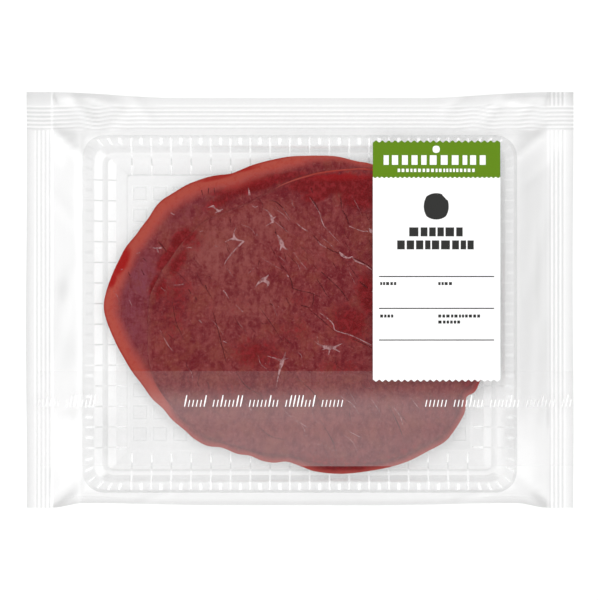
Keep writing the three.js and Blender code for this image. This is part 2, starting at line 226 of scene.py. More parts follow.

# Pale flecks and veins, and dark splits that are partly painted shadow in the cracks: points in the
# photograph's units, and half widths in millimetres
FLECKS = (
    (((262, 208.5), (267, 210.5), (270.5, 215), (272, 219), (273, 223)), (0.06, 0.25, 0.5, 0.8, 0.3)),
    (((272, 219), (276, 216.5)), (0.5, 0.06)), (((272.5, 222), (265.8, 226)), (0.35, 0.05)),
    (((252, 205.5), (255, 207.2), (258, 206)), (0.05, 0.28, 0.05)),
    (((277.3, 235), (280, 239.5), (281.6, 243.3), (283, 246.5)), (0.3, 0.8, 1.15, 0.7)),
    (((282, 245.5), (285.5, 248.5), (288.8, 250)), (0.7, 0.35, 0.08)),
    (((281.5, 246), (279.8, 251)), (0.6, 0.08)),
    (((255, 287.5), (259, 282.5), (263, 279.5), (266, 277.5), (268.7, 274.6)), (0.06, 0.6, 1.15, 0.6, 0.12)),
    (((263.5, 280), (267.8, 282.5), (268, 284.5), (266.8, 288)), (0.9, 0.8, 0.6, 0.1)),
    (((236.2, 227), (234.2, 232), (234, 236), (234.5, 238.5)), (0.2, 0.1, 0.55, 0.9)),
    (((225, 242), (230, 239.5), (235, 238.5)), (0.1, 0.3, 0.9)),
    (((234, 238), (238, 240), (244, 241)), (0.9, 0.35, 0.35)),
    (((244, 241), (238, 246.5), (230.5, 255), (226, 261), (224.4, 264.5)), (0.45, 0.4, 0.3, 0.2, 0.1)),
    (((186, 248), (189, 247.4), (192, 248)), (0.05, 0.25, 0.1)),
    (((199.5, 231.6), (203.5, 230.6)), (0.12, 0.2)),
    (((173, 285), (178, 285), (183.5, 284)), (0.05, 0.2, 0.35)), (((161, 287.6), (165.2, 291)), (0.1, 0.3)),
    (((215, 246), (218, 246.5)), (0.2, 0.1)),
    (((223.2, 290.6), (225.4, 292.8), (229, 299)), (0.35, 0.25, 0.05)),
    (((256.5, 234), (258, 236)), (0.2, 0.1)), (((286.8, 274.5), (288.5, 277)), (0.1, 0.4)),
    (((199, 320), (202, 323)), (0.25, 0.15)), (((223, 341), (227, 343)), (0.3, 0.15)),
    (((285.5, 352), (284, 358), (281.5, 364), (279, 373), (275.5, 390)), (0.12, 0.6, 1.0, 0.4, 0.05)),
    (((267, 356), (274, 358), (281.5, 361)), (0.06, 0.3, 0.8)), (((282.5, 360), (289, 358)), (0.5, 0.06)),
    (((314, 341), (319, 344.5), (325, 347), (330, 347.5), (336, 347)), (0.05, 0.3, 0.8, 1.2, 0.5)),
    (((335, 347), (343, 343)), (0.5, 0.06)), (((333, 348), (340, 352)), (0.6, 0.08)),
    (((327, 347.5), (322, 350)), (0.6, 0.06)), (((330, 348), (328.5, 355)), (0.6, 0.06)),
    (((320, 313), (327, 318), (333, 324), (335, 330), (343, 333)), (0.05, 0.2, 0.3, 0.2, 0.25)),
    (((343, 333), (350, 335), (357, 338), (371, 345)), (0.25, 0.35, 0.2, 0.3)),
    (((296, 222.5), (301, 227), (308, 231.5)), (0.05, 0.28, 0.15)),
    (((318, 241), (320.5, 244.5), (326, 247.5)), (0.15, 0.35, 0.12)),
    (((339, 251.5), (341.5, 254.5), (344, 256.5), (348.5, 258), (352, 256.5)), (0.15, 0.75, 0.6, 0.35, 0.25)),
    (((352, 256.5), (355, 260.5), (360, 262.8), (366, 265.5), (372, 270)), (0.25, 0.4, 0.35, 0.2, 0.15)),
    (((309, 197), (314, 204), (319.4, 212.6), (321.3, 219.3), (324, 226)), (0.06, 0.12, 0.22, 0.28, 0.15)),
    (((324, 226), (332, 234.6), (339.5, 242.3)), (0.15, 0.1, 0.03)),
    (((349, 226), (355, 228.5), (362, 231), (368, 231.3)), (0.15, 0.14, 0.16, 0.3)),
    (((369, 228), (371, 231), (374, 232)), (0.1, 0.9, 0.8)),
    (((282, 207), (286, 213), (290, 219.5)), (0.05, 0.12, 0.1)),
    (((293.6, 252), (301, 262.4), (308, 270)), (0.04, 0.12, 0.04)),
    (((254, 268), (248, 274)), (0.12, 0.04)), (((347, 268), (352, 277), (355, 284)), (0.03, 0.08, 0.03)),
    (((372, 291), (376, 293)), (0.3, 0.4)), (((352, 196), (357, 205), (361, 214)), (0.04, 0.1, 0.04)),
    (((411, 398), (420, 410)), (0.08, 0.18)), (((340, 396), (352, 404), (359, 414)), (0.1, 0.2, 0.08)),
    (((244, 402), (252, 411)), (0.1, 0.2)), (((392, 405), (400, 416), (403, 426)), (0.1, 0.25, 0.08)),
    (((372, 400), (380, 412)), (0.08, 0.16)), (((296, 420), (308, 428)), (0.08, 0.18)),
    (((346, 430), (362, 438)), (0.08, 0.2)), (((160, 330), (168, 345), (174, 352)), (0.05, 0.15, 0.05)),
    (((236, 305), (243, 312)), (0.06, 0.14)),
)
LOW_FLECKS = (
    (((248, 187.5), (249, 191), (249.3, 195.5)), (0.12, 0.4, 0.55)),
    (((204, 208.5), (210, 206.8), (213, 206.2), (216, 209)), (0.04, 0.15, 0.7, 0.3)),
    (((216, 208.5), (218.5, 211), (222.7, 209.2)), (0.3, 0.65, 0.25)),
    (((218, 211), (215, 213)), (0.4, 0.06)), (((170.6, 212.8), (174.6, 215)), (0.22, 0.1)),
    (((212, 197.5), (214, 196.5)), (0.08, 0.16)),
    (((151.7, 247.4), (156, 248.2), (161.5, 247.6)), (0.08, 0.35, 0.45)),
    (((157, 248.5), (158.4, 253)), (0.35, 0.06)), (((120, 270), (122.5, 269)), (0.2, 0.12)),
    (((136, 253.5), (140, 252.5)), (0.06, 0.16)), (((129, 300), (132, 306)), (0.05, 0.12)),
    (((113, 290), (118, 298), (119, 306)), (0.04, 0.1, 0.04)),
)
SPLITS = (
    (((268.7, 200.8), (275.4, 201.6), (282, 207), (284, 209.5)), (0.06, 0.2, 0.24, 0.06)),
    (((285, 211), (288, 215.5)), (0.16, 0.08)), (((310.8, 187.8), (313, 193)), (0.24, 0.1)),
    (((309.5, 196), (314.6, 203), (318.8, 211)), (0.08, 0.3, 0.12)),
    (((340.5, 197), (341.2, 203), (341.6, 208)), (0.14, 0.28, 0.1)),
    (((342, 210), (346, 216), (349.2, 225)), (0.12, 0.32, 0.2)),
    (((279.7, 221.3), (281, 225), (286.9, 231.8)), (0.22, 0.14, 0.1)),
    (((275, 231.5), (276.6, 234.5)), (0.3, 0.2)), (((270.6, 246), (276.4, 257.6)), (0.1, 0.14)),
    (((259.3, 260.5), (258, 266.5)), (0.16, 0.06)), (((284, 252.5), (286, 260)), (0.06, 0.1)),
    (((282, 266.2), (287.5, 272.5)), (0.16, 0.1)),
    (((289.5, 277), (291.3, 281), (292.6, 288.3)), (0.12, 0.3, 0.22)),
    (((292.6, 288.3), (301.3, 291), (310.8, 293), (322.3, 297.8)), (0.22, 0.14, 0.18, 0.06)),
    (((313.7, 294), (313.2, 301.7), (311.8, 307.4)), (0.16, 0.18, 0.1)),
    (((312.7, 234.6), (316, 238.5), (319, 242)), (0.06, 0.22, 0.1)),
    (((327, 247.6), (332, 250.6), (339, 253.4)), (0.16, 0.3, 0.14)),
    (((352, 257.4), (359, 260.4), (366, 264), (372, 268)), (0.1, 0.24, 0.24, 0.1)),
    (((321.3, 272), (331.9, 281.5), (341.4, 291), (348.5, 301)), (0.2, 0.14, 0.26, 0.1)),
    (((316.6, 278.7), (322.3, 287.3), (326, 294), (330, 297.8)), (0.1, 0.18, 0.16, 0.06)),
    (((332.8, 262.4), (336.7, 269)), (0.18, 0.08)), (((345.5, 243), (350, 251)), (0.14, 0.06)),
    (((348, 263.3), (353.5, 272), (357.7, 277.7)), (0.06, 0.16, 0.1)),
    (((359.5, 281.5), (364, 285.5), (368, 288)), (0.2, 0.42, 0.2)),
    (((286, 297.8), (289.8, 305.4)), (0.18, 0.08)), (((269.7, 303.5), (272.8, 305.5)), (0.3, 0.16)),
    (((301, 305.2), (305, 306.4), (309, 307.4)), (0.14, 0.34, 0.14)),
    (((229.8, 217), (231, 225)), (0.12, 0.08)), (((205, 285), (206.8, 288.6)), (0.26, 0.16)),
    (((188.6, 289.3), (191, 294)), (0.2, 0.12)), (((195.5, 297), (196.5, 300)), (0.28, 0.2)),
    (((213, 312), (218, 330), (222, 346), (226, 362)), (0.08, 0.2, 0.2, 0.08)),
    (((310, 310), (322, 320), (334, 331)), (0.08, 0.2, 0.08)),
    (((352, 339), (362, 343), (372, 348)), (0.1, 0.2, 0.1)),
    (((260, 308), (270, 322), (278, 334)), (0.06, 0.16, 0.06)), (((196, 272), (203, 286)), (0.05, 0.1)),
    (((236, 372), (246, 386), (262, 396)), (0.06, 0.18, 0.06)),
    (((300, 380), (316, 396), (322, 412)), (0.06, 0.16, 0.06)),
    (((172, 300), (176, 322), (184, 340)), (0.05, 0.14, 0.05)),
    (((320, 420), (332, 440), (336, 452)), (0.06, 0.16, 0.06)),
    (((388, 404), (398, 424), (404, 440)), (0.06, 0.18, 0.06)),
    (((256, 424), (270, 436), (286, 440)), (0.06, 0.15, 0.06)),
)
LOW_SPLITS = (
    (((158.2, 241.6), (161.4, 245), (166.5, 251.6)), (0.16, 0.26, 0.1)),
    (((143, 258), (147, 262)), (0.16, 0.08)), (((141, 269), (144, 275)), (0.08, 0.18)),
    (((128, 272), (130, 276)), (0.1, 0.2)), (((201.5, 190), (202.5, 195)), (0.2, 0.08)),
    (((208.6, 188), (208, 194)), (0.2, 0.1)), (((214, 188), (214.6, 193)), (0.16, 0.08)),
)
# Deep red patches: place and half axes in the photograph's units, turn in degrees, strength
PATCHES = (
    ((330, 184), (44, 11), 3, 1.2), ((362, 192), (24, 18), 20, 1.1), ((318, 194), (18, 8), 20, 1.0),
    ((285, 190), (22, 6), 25, 0.5), ((258, 354), (36, 18), -5, 0.6), ((432, 406), (40, 30), -20, 0.3),
    ((175, 305), (18, 44), -12, 0.52), ((350, 322), (28, 22), -30, 0.7), ((368, 296), (14, 28), 10, 0.75),
    ((300, 300), (16, 12), 0, 0.4), ((240, 300), (20, 14), 40, 0.3), ((205, 300), (10, 20), 10, 0.3),
    ((330, 462), (60, 8), -2, 0.6), ((290, 330), (30, 18), 0, 0.45), ((400, 452), (26, 9), 25, 0.5),
    ((232, 395), (22, 14), -30, 0.4), ((196, 242), (16, 10), 40, 0.45), ((340, 366), (30, 10), 0, 0.5),
    ((160, 292), (6, 18), -20, 0.6), ((470, 380), (12, 10), 0, 0.9), ((178, 262), (8, 20), -34, 0.75),
    ((310, 265), (40, 30), 0, 0.2), ((190, 238), (14, 5), 42, 0.7), ((160, 290), (7, 16), -20, 0.7),
)
# Deep red patches of the lower slice, read as the patches above; most of them, along the upper slice's edge,
# are a painted shadow of that edge
BELOW_PATCHES = (
    ((252, 185), (42, 8), 14, 1.1), ((288, 176), (26, 6), 10, 0.7), ((325, 166), (44, 5), 0, 0.35),
    ((222, 200), (26, 7), 24, 0.7), ((181, 240), (14, 9), 50, 1.1), ((168, 258), (7, 16), -38, 1.2),
    ((155, 284), (5, 14), -25, 0.9), ((345, 471), (60, 6), 0, 0.7), ((240, 452), (40, 6), -15, 0.3),
    ((135, 262), (5, 16), -30, 0.4),
)
# Pale bloom of the upper slice and of the lower one, read as the patches above
HAZES = (
    ((225, 252), (38, 30), 0, 1.0), ((262, 225), (34, 20), 10, 0.75), ((245, 300), (40, 30), 0, 0.6),
    ((320, 240), (36, 24), 20, 0.3), ((300, 420), (110, 22), 0, 0.4), ((215, 345), (20, 26), 0, 0.25),
)
LOW_HAZES = (
    ((136, 290), (16, 44), -14, 1.0), ((130, 330), (20, 40), 0, 0.7), ((185, 212), (34, 12), 38, 0.35),
)
# Moist bright places, most of them on the rims
HOT_PATCHES = (
    ((120, 262), (8.5, 19), -28, 1.0), ((112, 280), (5, 10), -20, 0.9), ((131, 241), (5, 5), 0, 0.4),
    ((216, 178), (26, 3), 12, 0.6), ((247, 169), (18, 3), 14, 0.6), ((480, 386), (9, 12), 0, 0.8),
    ((350, 175), (46, 6), 3, 0.9), ((250, 184), (34, 5), 14, 0.45),
)
# Painted shade (above 0) and painted highlight or reflection (below 0) on the film, read as the patches above
FILM_PATCHES = (
    ((76, 139), (18, 8), -30, 0.45), ((58, 150), (6, 15), 10, -0.4), ((54.5, 98), (1.6, 7), 25, 0.6),
    ((66, 100), (9, 4), 0, -0.4), ((83, 95), (12, 2.5), -3, 0.3), ((94, 101), (10, 2.2), -20, -0.35),
    ((107, 98), (13, 4), -12, 0.3), ((78, 200), (5, 40), 0, -0.3), ((62, 290), (7, 12), 0, 0.3),
    ((66, 350), (11, 20), 0, 0.22), ((66, 446), (12, 34), 0, -0.5), ((70, 415), (9, 4), 0, 0.35),
    ((66, 499), (15, 3.5), 38, 0.45), ((50.5, 475), (1.2, 11), 0, 0.45), ((530, 95.5), (34, 2), 0, 0.3),
    ((511, 103), (11, 3), -5, -0.5), ((540, 101), (5, 5), 0, -0.25), ((547, 99), (1.4, 7), -10, 0.4),
    ((524, 138), (22, 8), 25, 0.3), ((549, 150), (2.5, 20), 0, -0.4), ((558, 142), (6, 12), 0, -0.4),
    ((527, 458), (11, 28), 0, -0.3), ((541, 500), (10, 4.5), -35, 0.5), ((548.5, 415), (1.2, 15), 0, 0.5),
    ((538, 270), (2, 60), 0, 0.1), ((523, 400), (5, 16), 0, 0.15), ((300, 96), (120, 2), 0, 0.1),
    ((39, 110), (12, 22), 0, 0.15), ((84, 116), (30, 13), 0, 0.15), ((106, 434), (16, 24), 0, 0.4),
    ((510, 434), (6, 38), 0, 0.7), ((142, 434), (14, 22), 0, 0.13), ((462, 446), (14, 12), 0, 0.15),
)

# Label and reseal strip, in millimetres, and their teeth
LABEL = {"left": 27.72, "right": 76.1, "bottom": -31.0, "top": 60.5}
HEADER_BOTTOM = 46.2
HEADER_LIFT = (0.01, 0.05)
TEETH = {"edge": 20, "header": 28, "depth": 0.75, "fine": 0.5}
TOOTH_COLUMNS = 8
STRIP = {"left": -100.2, "bottom": -63.1, "top": -27.0}
STRIP_LIFT = (0.07, 0.15)
LABEL_LIFT = 0.08
PRINT_THICKNESS = 0.03
PRINT_LIFT = 0.01
LAP = (0.2, 3.0)
GRID_STEP = 2.2

# The strip's strokes, in the photograph's units
STROKE_ROWS = ((37, 103), (184, 343), (424.6, 573))
STROKES = {"foot": 406.5, "low": 6.8, "tall": 11.5, "width": 1.5, "pitch": 3.9, "slant": 0.2, "taper": 0.35}
STROKE_GROUPS = {"strokes": 9, "space_at": 7, "space": 5.0, "tall_share": 0.25}

# The label's print, in the photograph's units: lines across it, rows of blocks (left, right, top, bottom,
# number, inked share, seed), and one rounded mark each for the field and the header (middle, half sizes)
LABEL_LINES = {"left": 378.8, "right": 493.8, "levels": (276.5, 308.3, 339.9)}
INK_ROWS = (
    (409, 464, 227.5, 236.5, 6, 0.8, 51), (397, 475, 240.5, 249.5, 9, 0.8, 52),
    (380, 397, 282.1, 285.1, 5, 0.7, 663), (438, 453, 282.1, 285.1, 4, 0.7, 721),
    (380, 394, 314.5, 317.5, 4, 0.7, 696), (438, 481, 314.5, 317.5, 11, 0.7, 754),
    (438, 461, 320.5, 323.5, 6, 0.7, 760),
)
HEADER_ROWS = ((383.5, 489, 155.5, 165, 11, 0.62, 61), (397.5, 476, 168.9, 172.2, 20, 0.6, 62))
INK_SPOT = (436, 206.5, 12.5, 13.2)
HEADER_SPOT = (436, 149.5, 3.6, 3.6)


# Numbers


def srgb(red, green, blue):
    """A colour read off a picture, as Blender's linear values."""
    values = [channel / 255 for channel in (red, green, blue)]
    return tuple(v / 12.92 if v <= 0.04045 else ((v + 0.055) / 1.055) ** 2.4 for v in values)


def ramp(value, start, end):
    return np.clip((value - start) / (end - start), 0, 1)


def smooth(value, start, end):
    share = ramp(value, start, end)
    return share * share * (3 - 2 * share)


def spot(point):
    """A place in the photograph's units, in millimetres from the pack's middle."""
    return ((point[0] - MIDDLE[0]) * UNIT, (MIDDLE[1] - point[1]) * UNIT)


def ripple(x, y, seed, count, waves, heading=0.0, spread=math.pi):
    """A sum of seeded waves of about unit height."""
    rng = np.random.default_rng(seed)
    total = np.zeros(np.broadcast(x, y).shape)
    for _ in range(count):
        length = rng.uniform(*waves)
        turn = heading + rng.uniform(-spread, spread)
        ahead = x * math.cos(turn) + y * math.sin(turn)
        total += np.sin(ahead * 2 * math.pi / length + rng.uniform(0, 2 * math.pi))
    return total / math.sqrt(count)


def to_line(x, y, start, end):
    """Distance to a straight stretch, and the share of it that is nearest."""
    dx, dy = end[0] - start[0], end[1] - start[1]
    share = np.clip(((x - start[0]) * dx + (y - start[1]) * dy) / (dx * dx + dy * dy), 0, 1)
    return np.hypot(x - start[0] - share * dx, y - start[1] - share * dy), share


def patch_cover(x, y, patches):
    """How much of each place soft oval patches cover."""
    cover = np.zeros(x.shape)
    for place, axes, degrees, strength in patches:
        cx, cy = spot(place)
        turn = math.radians(degrees)
        along = ((x - cx) * math.cos(turn) + (y - cy) * math.sin(turn)) / (axes[0] * UNIT)
        across = ((y - cy) * math.cos(turn) - (x - cx) * math.sin(turn)) / (axes[1] * UNIT)
        cover = np.maximum(cover, strength * np.exp(-((along * along + across * across) ** 1.3)))
    return cover


def patch_sum(x, y, patches):
    """Soft oval patches, some of them below 0, on top of each other."""
    total = np.zeros(x.shape)
    for *where, strength in patches:
        total += math.copysign(1, strength) * patch_cover(x, y, [(*where, abs(strength))])
    return total


def curve_point(a, b, c, d, t):
    """A place on a smooth curve from b to c, between the points before and after them."""
    return 0.5 * (2 * b + (c - a) * t + (2 * a - 5 * b + 4 * c - d) * t * t + (3 * b - a - 3 * c + d) * t**3)


# Film

END_OUTER = HALF_LENGTH - END_SEAL["strip"]
END_INNER = END_OUTER - END_SEAL["ridges"] * END_SEAL["pitch"]
BACK_OUTER = HALF_WIDTH - BACK_SEAL["strip"]
BACK_INNER = BACK_OUTER - BACK_SEAL["ridges"] * BACK_SEAL["pitch"]
FOLD_INNER = -HALF_WIDTH + FOLD["width"]
OVER_LIP = 0.35
LEAVE_X = TRAY_HALF_LENGTH + OVER_LIP
LEAVE_BACK = TRAY_Y + TRAY_HALF_WIDTH + OVER_LIP
LEAVE_FRONT = TRAY_Y - TRAY_HALF_WIDTH - OVER_LIP

# Creases of the film: from, to, half width and height in millimetres, and how much painted shade its left
# side gets (below 0 painted highlight), with the opposite painted on its right side
CREASES = (
    (-94, 65, -83, 55, 1.6, 0.5, 0.5), (94, 65, 83, 55, 1.6, 0.5, -0.4),
    (-94, -77, -82, -66, 1.8, 0.4, -0.25), (94, -77, 82, -66, 1.8, 0.4, 0.2),
    (-94, 40, -86, 30, 2.2, 0.35, 0.15), (-93, -20, -87, 10, 2.5, -0.4, 0.2),
    (93, 30, 88, 5, 2.4, -0.35, 0.15), (92, -10, 90, -45, 2.2, 0.3, 0.2),
    (-92, -45, -88, -60, 2.0, 0.35, 0.15), (93, 50, 86, 44, 1.6, 0.3, 0.15),
    (-74, 64, -66, 72, 1.8, 0.5, 0.2), (-86, 76, -80, 69, 1.8, 0.55, 0.3),
    (-64, 78, -58, 70, 2.0, -0.4, 0.25), (78, 77, 71, 69, 1.9, 0.5, 0.3), (90, 76, 84, 70, 1.6, -0.45, 0.2),
    (62, 78, 56, 71, 2.0, 0.35, 0.25), (-60, -77, -50, -73, 1.6, 0.3, 0.2),
    (60, -77, 70, -73, 1.6, 0.3, 0.2),
)


def near_corner(x):
    return smooth(np.abs(x), DROOP_FROM, END_INNER)


def eased(share):
    """A slope that leaves the flange softly and runs out softly into the seal."""
    return 0.55 * share + 0.45 * share * share * (3 - 2 * share)


def film_middle(x, y):
    """Outside of the upper film without crimps or wrinkles."""
    corner = near_corner(x)
    back_top = BACK_SEAL["top"] + (SEAL_TOP - BACK_SEAL["top"]) * corner
    fold_top = FOLD["top"] + (SEAL_TOP - FOLD["top"]) * corner
    drop = np.maximum.reduce([
        (RIM_TOP - SEAL_TOP) * eased(ramp(np.abs(x), LEAVE_X, END_INNER)),
        (RIM_TOP - back_top) * eased(ramp(y, LEAVE_BACK, BACK_INNER)),
        (RIM_TOP - fold_top) * eased(ramp(-y, -LEAVE_FRONT, -FOLD_INNER)),
    ])
    along = np.clip(1 - (x / TRAY_HALF_LENGTH) ** 2, 0, 1)
    across = np.clip(1 - ((y - TRAY_Y) / TRAY_HALF_WIDTH) ** 2, 0, 1)
    return RIM_TOP - drop + CROWN * along * across


def ridge(distance, seal, height):
    """Rounded ridges across a seal."""
    width = seal["ridges"] * seal["pitch"]
    inside = (distance > 0) & (distance < width)
    return np.where(inside, height * 0.5 * (1 - np.cos(2 * math.pi * distance / seal["pitch"])), 0)


def film_waves(x, y, tray_edge, margin):
    """Wrinkles of the upper film: soft over the tray, stronger beside it, and along its seals."""
    end_fin = smooth(np.abs(x), END_INNER - 1, END_INNER)
    fin = np.maximum(smooth(np.abs(x), END_INNER - 2, END_INNER), smooth(y, BACK_INNER - 1, BACK_INNER + 1))
    height, *kind = WAVES_OVER_TRAY
    waves = height * ripple(x, y, *kind) * (1 - margin)
    height, *kind = WAVES_BESIDE_TRAY
    waves += margin * (1 - fin) * height * ripple(x, y, *kind)
    height, *kind = WAVES_OF_BACK
    along_back = smooth(y, BACK_INNER - 1, BACK_INNER + 1) * (1 - end_fin)
    along_back *= 0.25 + 0.75 * smooth(np.abs(x), *WAVER_FROM)
    along_back *= 0.2 + 0.8 * ramp(y, BACK_INNER, HALF_WIDTH)
    waves += along_back * height * ripple(x, y * 0.5, *kind, 0, 0.6)
    height, *kind = WAVES_OF_ENDS
    along_end = end_fin * (0.3 + 0.7 * ramp(np.abs(x), END_INNER, HALF_LENGTH))
    waves += along_end * height * ripple(x * 0.3, y, *kind, math.pi / 2, 0.4)
    for x0, y0, x1, y1, width, rise, _ in CREASES:
        away, _ = to_line(x, y, (x0, y0), (x1, y1))
        waves = waves + rise * np.exp(-((away / width) ** 2)) * np.maximum(margin, fin)
    well = smooth(-tray_edge, 4, 14)
    return np.where(tray_edge < 0, waves * (0.15 + 0.85 * well), waves)


def film_top(x, y):
    """Outside of the upper film."""
    look = bpy.context.scene.pack_sizes
    x, y = np.broadcast_arrays(np.asarray(x, float), np.asarray(y, float))
    tray_edge = np.maximum(np.abs(x) - TRAY_HALF_LENGTH, np.abs(y - TRAY_Y) - TRAY_HALF_WIDTH)
    waves = film_waves(x, y, tray_edge, smooth(tray_edge, 0.5, 3.0))
    height = film_middle(x, y) + waves * look.wrinkle_height / MM / USUAL_WRINKLE
    end_ridges = np.where((x < 0) & (y > BACK_INNER), 0, 1)
    height = height + end_ridges * ridge(np.abs(x) - END_INNER, END_SEAL, look.crimp_height / MM)
    return height + back_fade(x) * ridge(y - BACK_INNER + back_wobble(x), BACK_SEAL, look.crimp_height / MM)


def back_wobble(x):
    """The back seal's ridges wander near the corners."""
    reach = np.abs(x)
    waving = smooth(reach, *WAVER_FROM) * (1 - 0.85 * smooth(reach, END_INNER - 3, END_INNER))
    return 0.5 * waving * ripple(x, 0 * x, 21, 4, (10, 26), 0, 0.2)


def back_fade(x):
    """The back seal's ridges are flatter in places near the corners."""
    end_fin = smooth(np.abs(x), END_INNER - 1, END_INNER)
    return 1 - 0.45 * smooth(np.abs(x), *WAVER_FROM) * (0.5 + 0.5 * np.sin(x * 0.5)) * (1 - end_fin)


def crease_tones(x, y):
    """Painted shade on one side of each crease, and painted highlight on the other."""
    tones = np.zeros(x.shape)
    for x0, y0, x1, y1, width, _, tone in CREASES:
        away, _ = to_line(x, y, (x0, y0), (x1, y1))
        left = ((y - y0) * (x1 - x0) - (x - x0) * (y1 - y0)) / math.hypot(x1 - x0, y1 - y0)
        tones += tone * np.clip(left / width, -1, 1) * np.exp(-((away / width / 1.4) ** 2))
    return tones


def end_tones(x, y):
    """Painted shade and highlight on the end seals' lines, and their outer strip, greyer towards the edge."""
    reach, right, on_back = np.abs(x), x > 0, y > BACK_INNER
    turn = 2 * math.pi * (reach - END_INNER) / END_SEAL["pitch"]
    lines = -np.cos(turn) * np.where(right, END_LINES["right"], END_LINES["left"]) + END_LINES["mean"]
    lines = np.where(right & (reach < END_INNER + END_LINES["edge"]), END_LINES["first"], lines)
    outwards = ramp(reach, END_OUTER, HALF_LENGTH)
    strip = np.where(right, END_STRIP["right"], END_STRIP["left"]) + END_STRIP["rim"] * outwards**1.2
    tones = np.where(reach > END_OUTER, strip, lines)
    bare = on_back & ((y < BACK_OUTER) | ~right)
    tones = np.where(bare, END_STRIP["corner"] * outwards, tones)
    # A thin painted highlight line where the left seal starts
    start = np.where(right, 0, LEFT_END_LINE) * np.exp(-(((reach - END_INNER) / END_LINES["edge"]) ** 2))
    return np.where(reach > END_INNER, tones, 0) - start


def back_tones(x, y):
    """Painted shade and highlight on the back seal and its outer strip, and painted shade on its slope."""
    on_back = y > BACK_INNER
    phase = (y - BACK_INNER + back_wobble(x)) / BACK_SEAL["pitch"] - BACK_LINES["phase"]
    lines = np.cos(2 * math.pi * phase) * BACK_LINES["height"] * back_fade(x) + BACK_LINES["mean"]
    rim = BACK_RIM[0] + BACK_RIM[1] * ramp(y, BACK_OUTER, HALF_WIDTH) ** 0.8
    seal = np.where(on_back & (y < BACK_OUTER), lines, np.where(on_back, rim, 0))
    return seal + np.where((y > LEAVE_BACK) & ~on_back & (np.abs(x) < END_INNER), BACK_SLOPE, 0)


def margin_tones(x, y):
    """Painted shade and reflection on the film's slopes at the tray's ends, and shade at its front edge."""
    reach = np.abs(x)
    margin = np.interp(x, MARGIN_PLACES, MARGIN_TONES) * np.where(x > 0, np.interp(y, *RIGHT_MARGIN), 1)
    beside = (reach > TRAY_HALF_LENGTH) & (reach < END_INNER) & (y <= BACK_INNER)
    front = np.interp(y + HALF_WIDTH - front_recess(x), *FRONT_EDGE)
    return np.where(beside, margin, 0) + np.where(reach < END_INNER, front, 0)


def film_shade(x, y):
    """The film's own grey tint, plus painted shade above 0 and painted highlight below 0."""
    tones = patch_sum(x, y, FILM_PATCHES) + crease_tones(x, y) + end_tones(x, y) + back_tones(x, y)
    tones += margin_tones(x, y)
    inset = np.minimum(TRAY_HALF_LENGTH - np.abs(x), (TRAY_HALF_WIDTH - np.abs(y - TRAY_Y)) / ACROSS_SHARE)
    # Clearer film over the tray's walls, so that their painted highlights show white
    over_walls = smooth(inset, *WALLS_START) * (1 - ramp(inset, *WALLS_END))
    return FILM_GREY * (1 - over_walls) + FILM_TONE * tones


def film_under(x, y):
    """Inside of the lower film: flat under the tray, and up to the seals."""
    look = bpy.context.scene.pack_sizes
    x, y = np.broadcast_arrays(np.asarray(x, float), np.asarray(y, float))
    corner = near_corner(x)
    seal = SEAL_TOP - look.film_thickness / MM
    back = BACK_SEAL["top"] + (SEAL_TOP - BACK_SEAL["top"]) * corner - look.film_thickness / MM
    fold = FOLD["bottom"] + (seal - FOLD["bottom"]) * corner
    rise = np.maximum.reduce([
        seal * ramp(np.abs(x), FOOT["half_length"], END_INNER) ** 1.15,
        back * ramp(y, FOOT["back"], BACK_INNER) ** 1.1,
        fold * ramp(-y, -FOOT["front"], -FOLD_INNER),
    ])
    sag = WAVES_UNDER[0] * ripple(x, y, *WAVES_UNDER[1:]) * smooth(rise, 1.0, 4.0)
    free = np.maximum(0.06, rise + sag)
    sealed = (np.abs(x) >= END_INNER) | (y >= BACK_INNER)
    inside = film_top(x, y) - look.film_thickness / MM
    near = np.maximum(smooth(np.abs(x), END_INNER - 2.5, END_INNER), smooth(y, BACK_INNER - 1.2, BACK_INNER))
    return np.where(sealed, inside, np.minimum(free + (inside - free) * near, inside))


def folded(y, top, under):
    """Rounds the bag off along its front edge."""
    share = ramp(-y, -FOLD_INNER, HALF_WIDTH)
    middle = (top + under) / 2
    half = (top - under) / 2 * np.sqrt(np.clip(1 - share * share, 0.0004, 1))
    return middle + half, middle - half


def front_recess(x):
    """How far the bag's front edge is set back."""
    reach = np.abs(x)
    inwards = smooth(reach, FRONT_WAVE["from"], FRONT_WAVE["deepest"])
    corner = smooth(reach, FRONT_WAVE["deepest"], END_INNER)
    return FRONT_WAVE["recess"] * (1 + inwards - 2 * corner)


def bag_edge(x, y):
    """The back edge sags between the corners, and the front edge is recessed beside them."""
    back = ramp(y, BACK_INNER, HALF_WIDTH) * BACK_SAG * (1 - near_corner(x))
    front = ramp(-y, -LEAVE_FRONT, HALF_WIDTH) * front_recess(x)
    wave = (1 + np.sin(y / SIDE_WAVE["length"] + np.sign(x))) / 2
    side = ramp(np.abs(x), END_INNER, HALF_LENGTH) * SIDE_WAVE["depth"] * wave
    return x - np.sign(x) * side, y - back + front


def evenly(start, end, step):
    return np.linspace(start, end, max(2, round(abs(end - start) / step) + 1))


def joined_lines(*stretches):
    lines = np.sort(np.concatenate(stretches))
    return lines[np.concatenate([[True], np.diff(lines) > 1e-6])]


def film_columns():
    half = joined_lines(
        evenly(0, LEAVE_X, GRID_STEP), evenly(LEAVE_X, END_INNER, 0.8),
        evenly(END_INNER, END_OUTER, END_SEAL["pitch"] / 6), evenly(END_OUTER, HALF_LENGTH, 0.6),
    )
    return np.concatenate([-half[:0:-1], half])


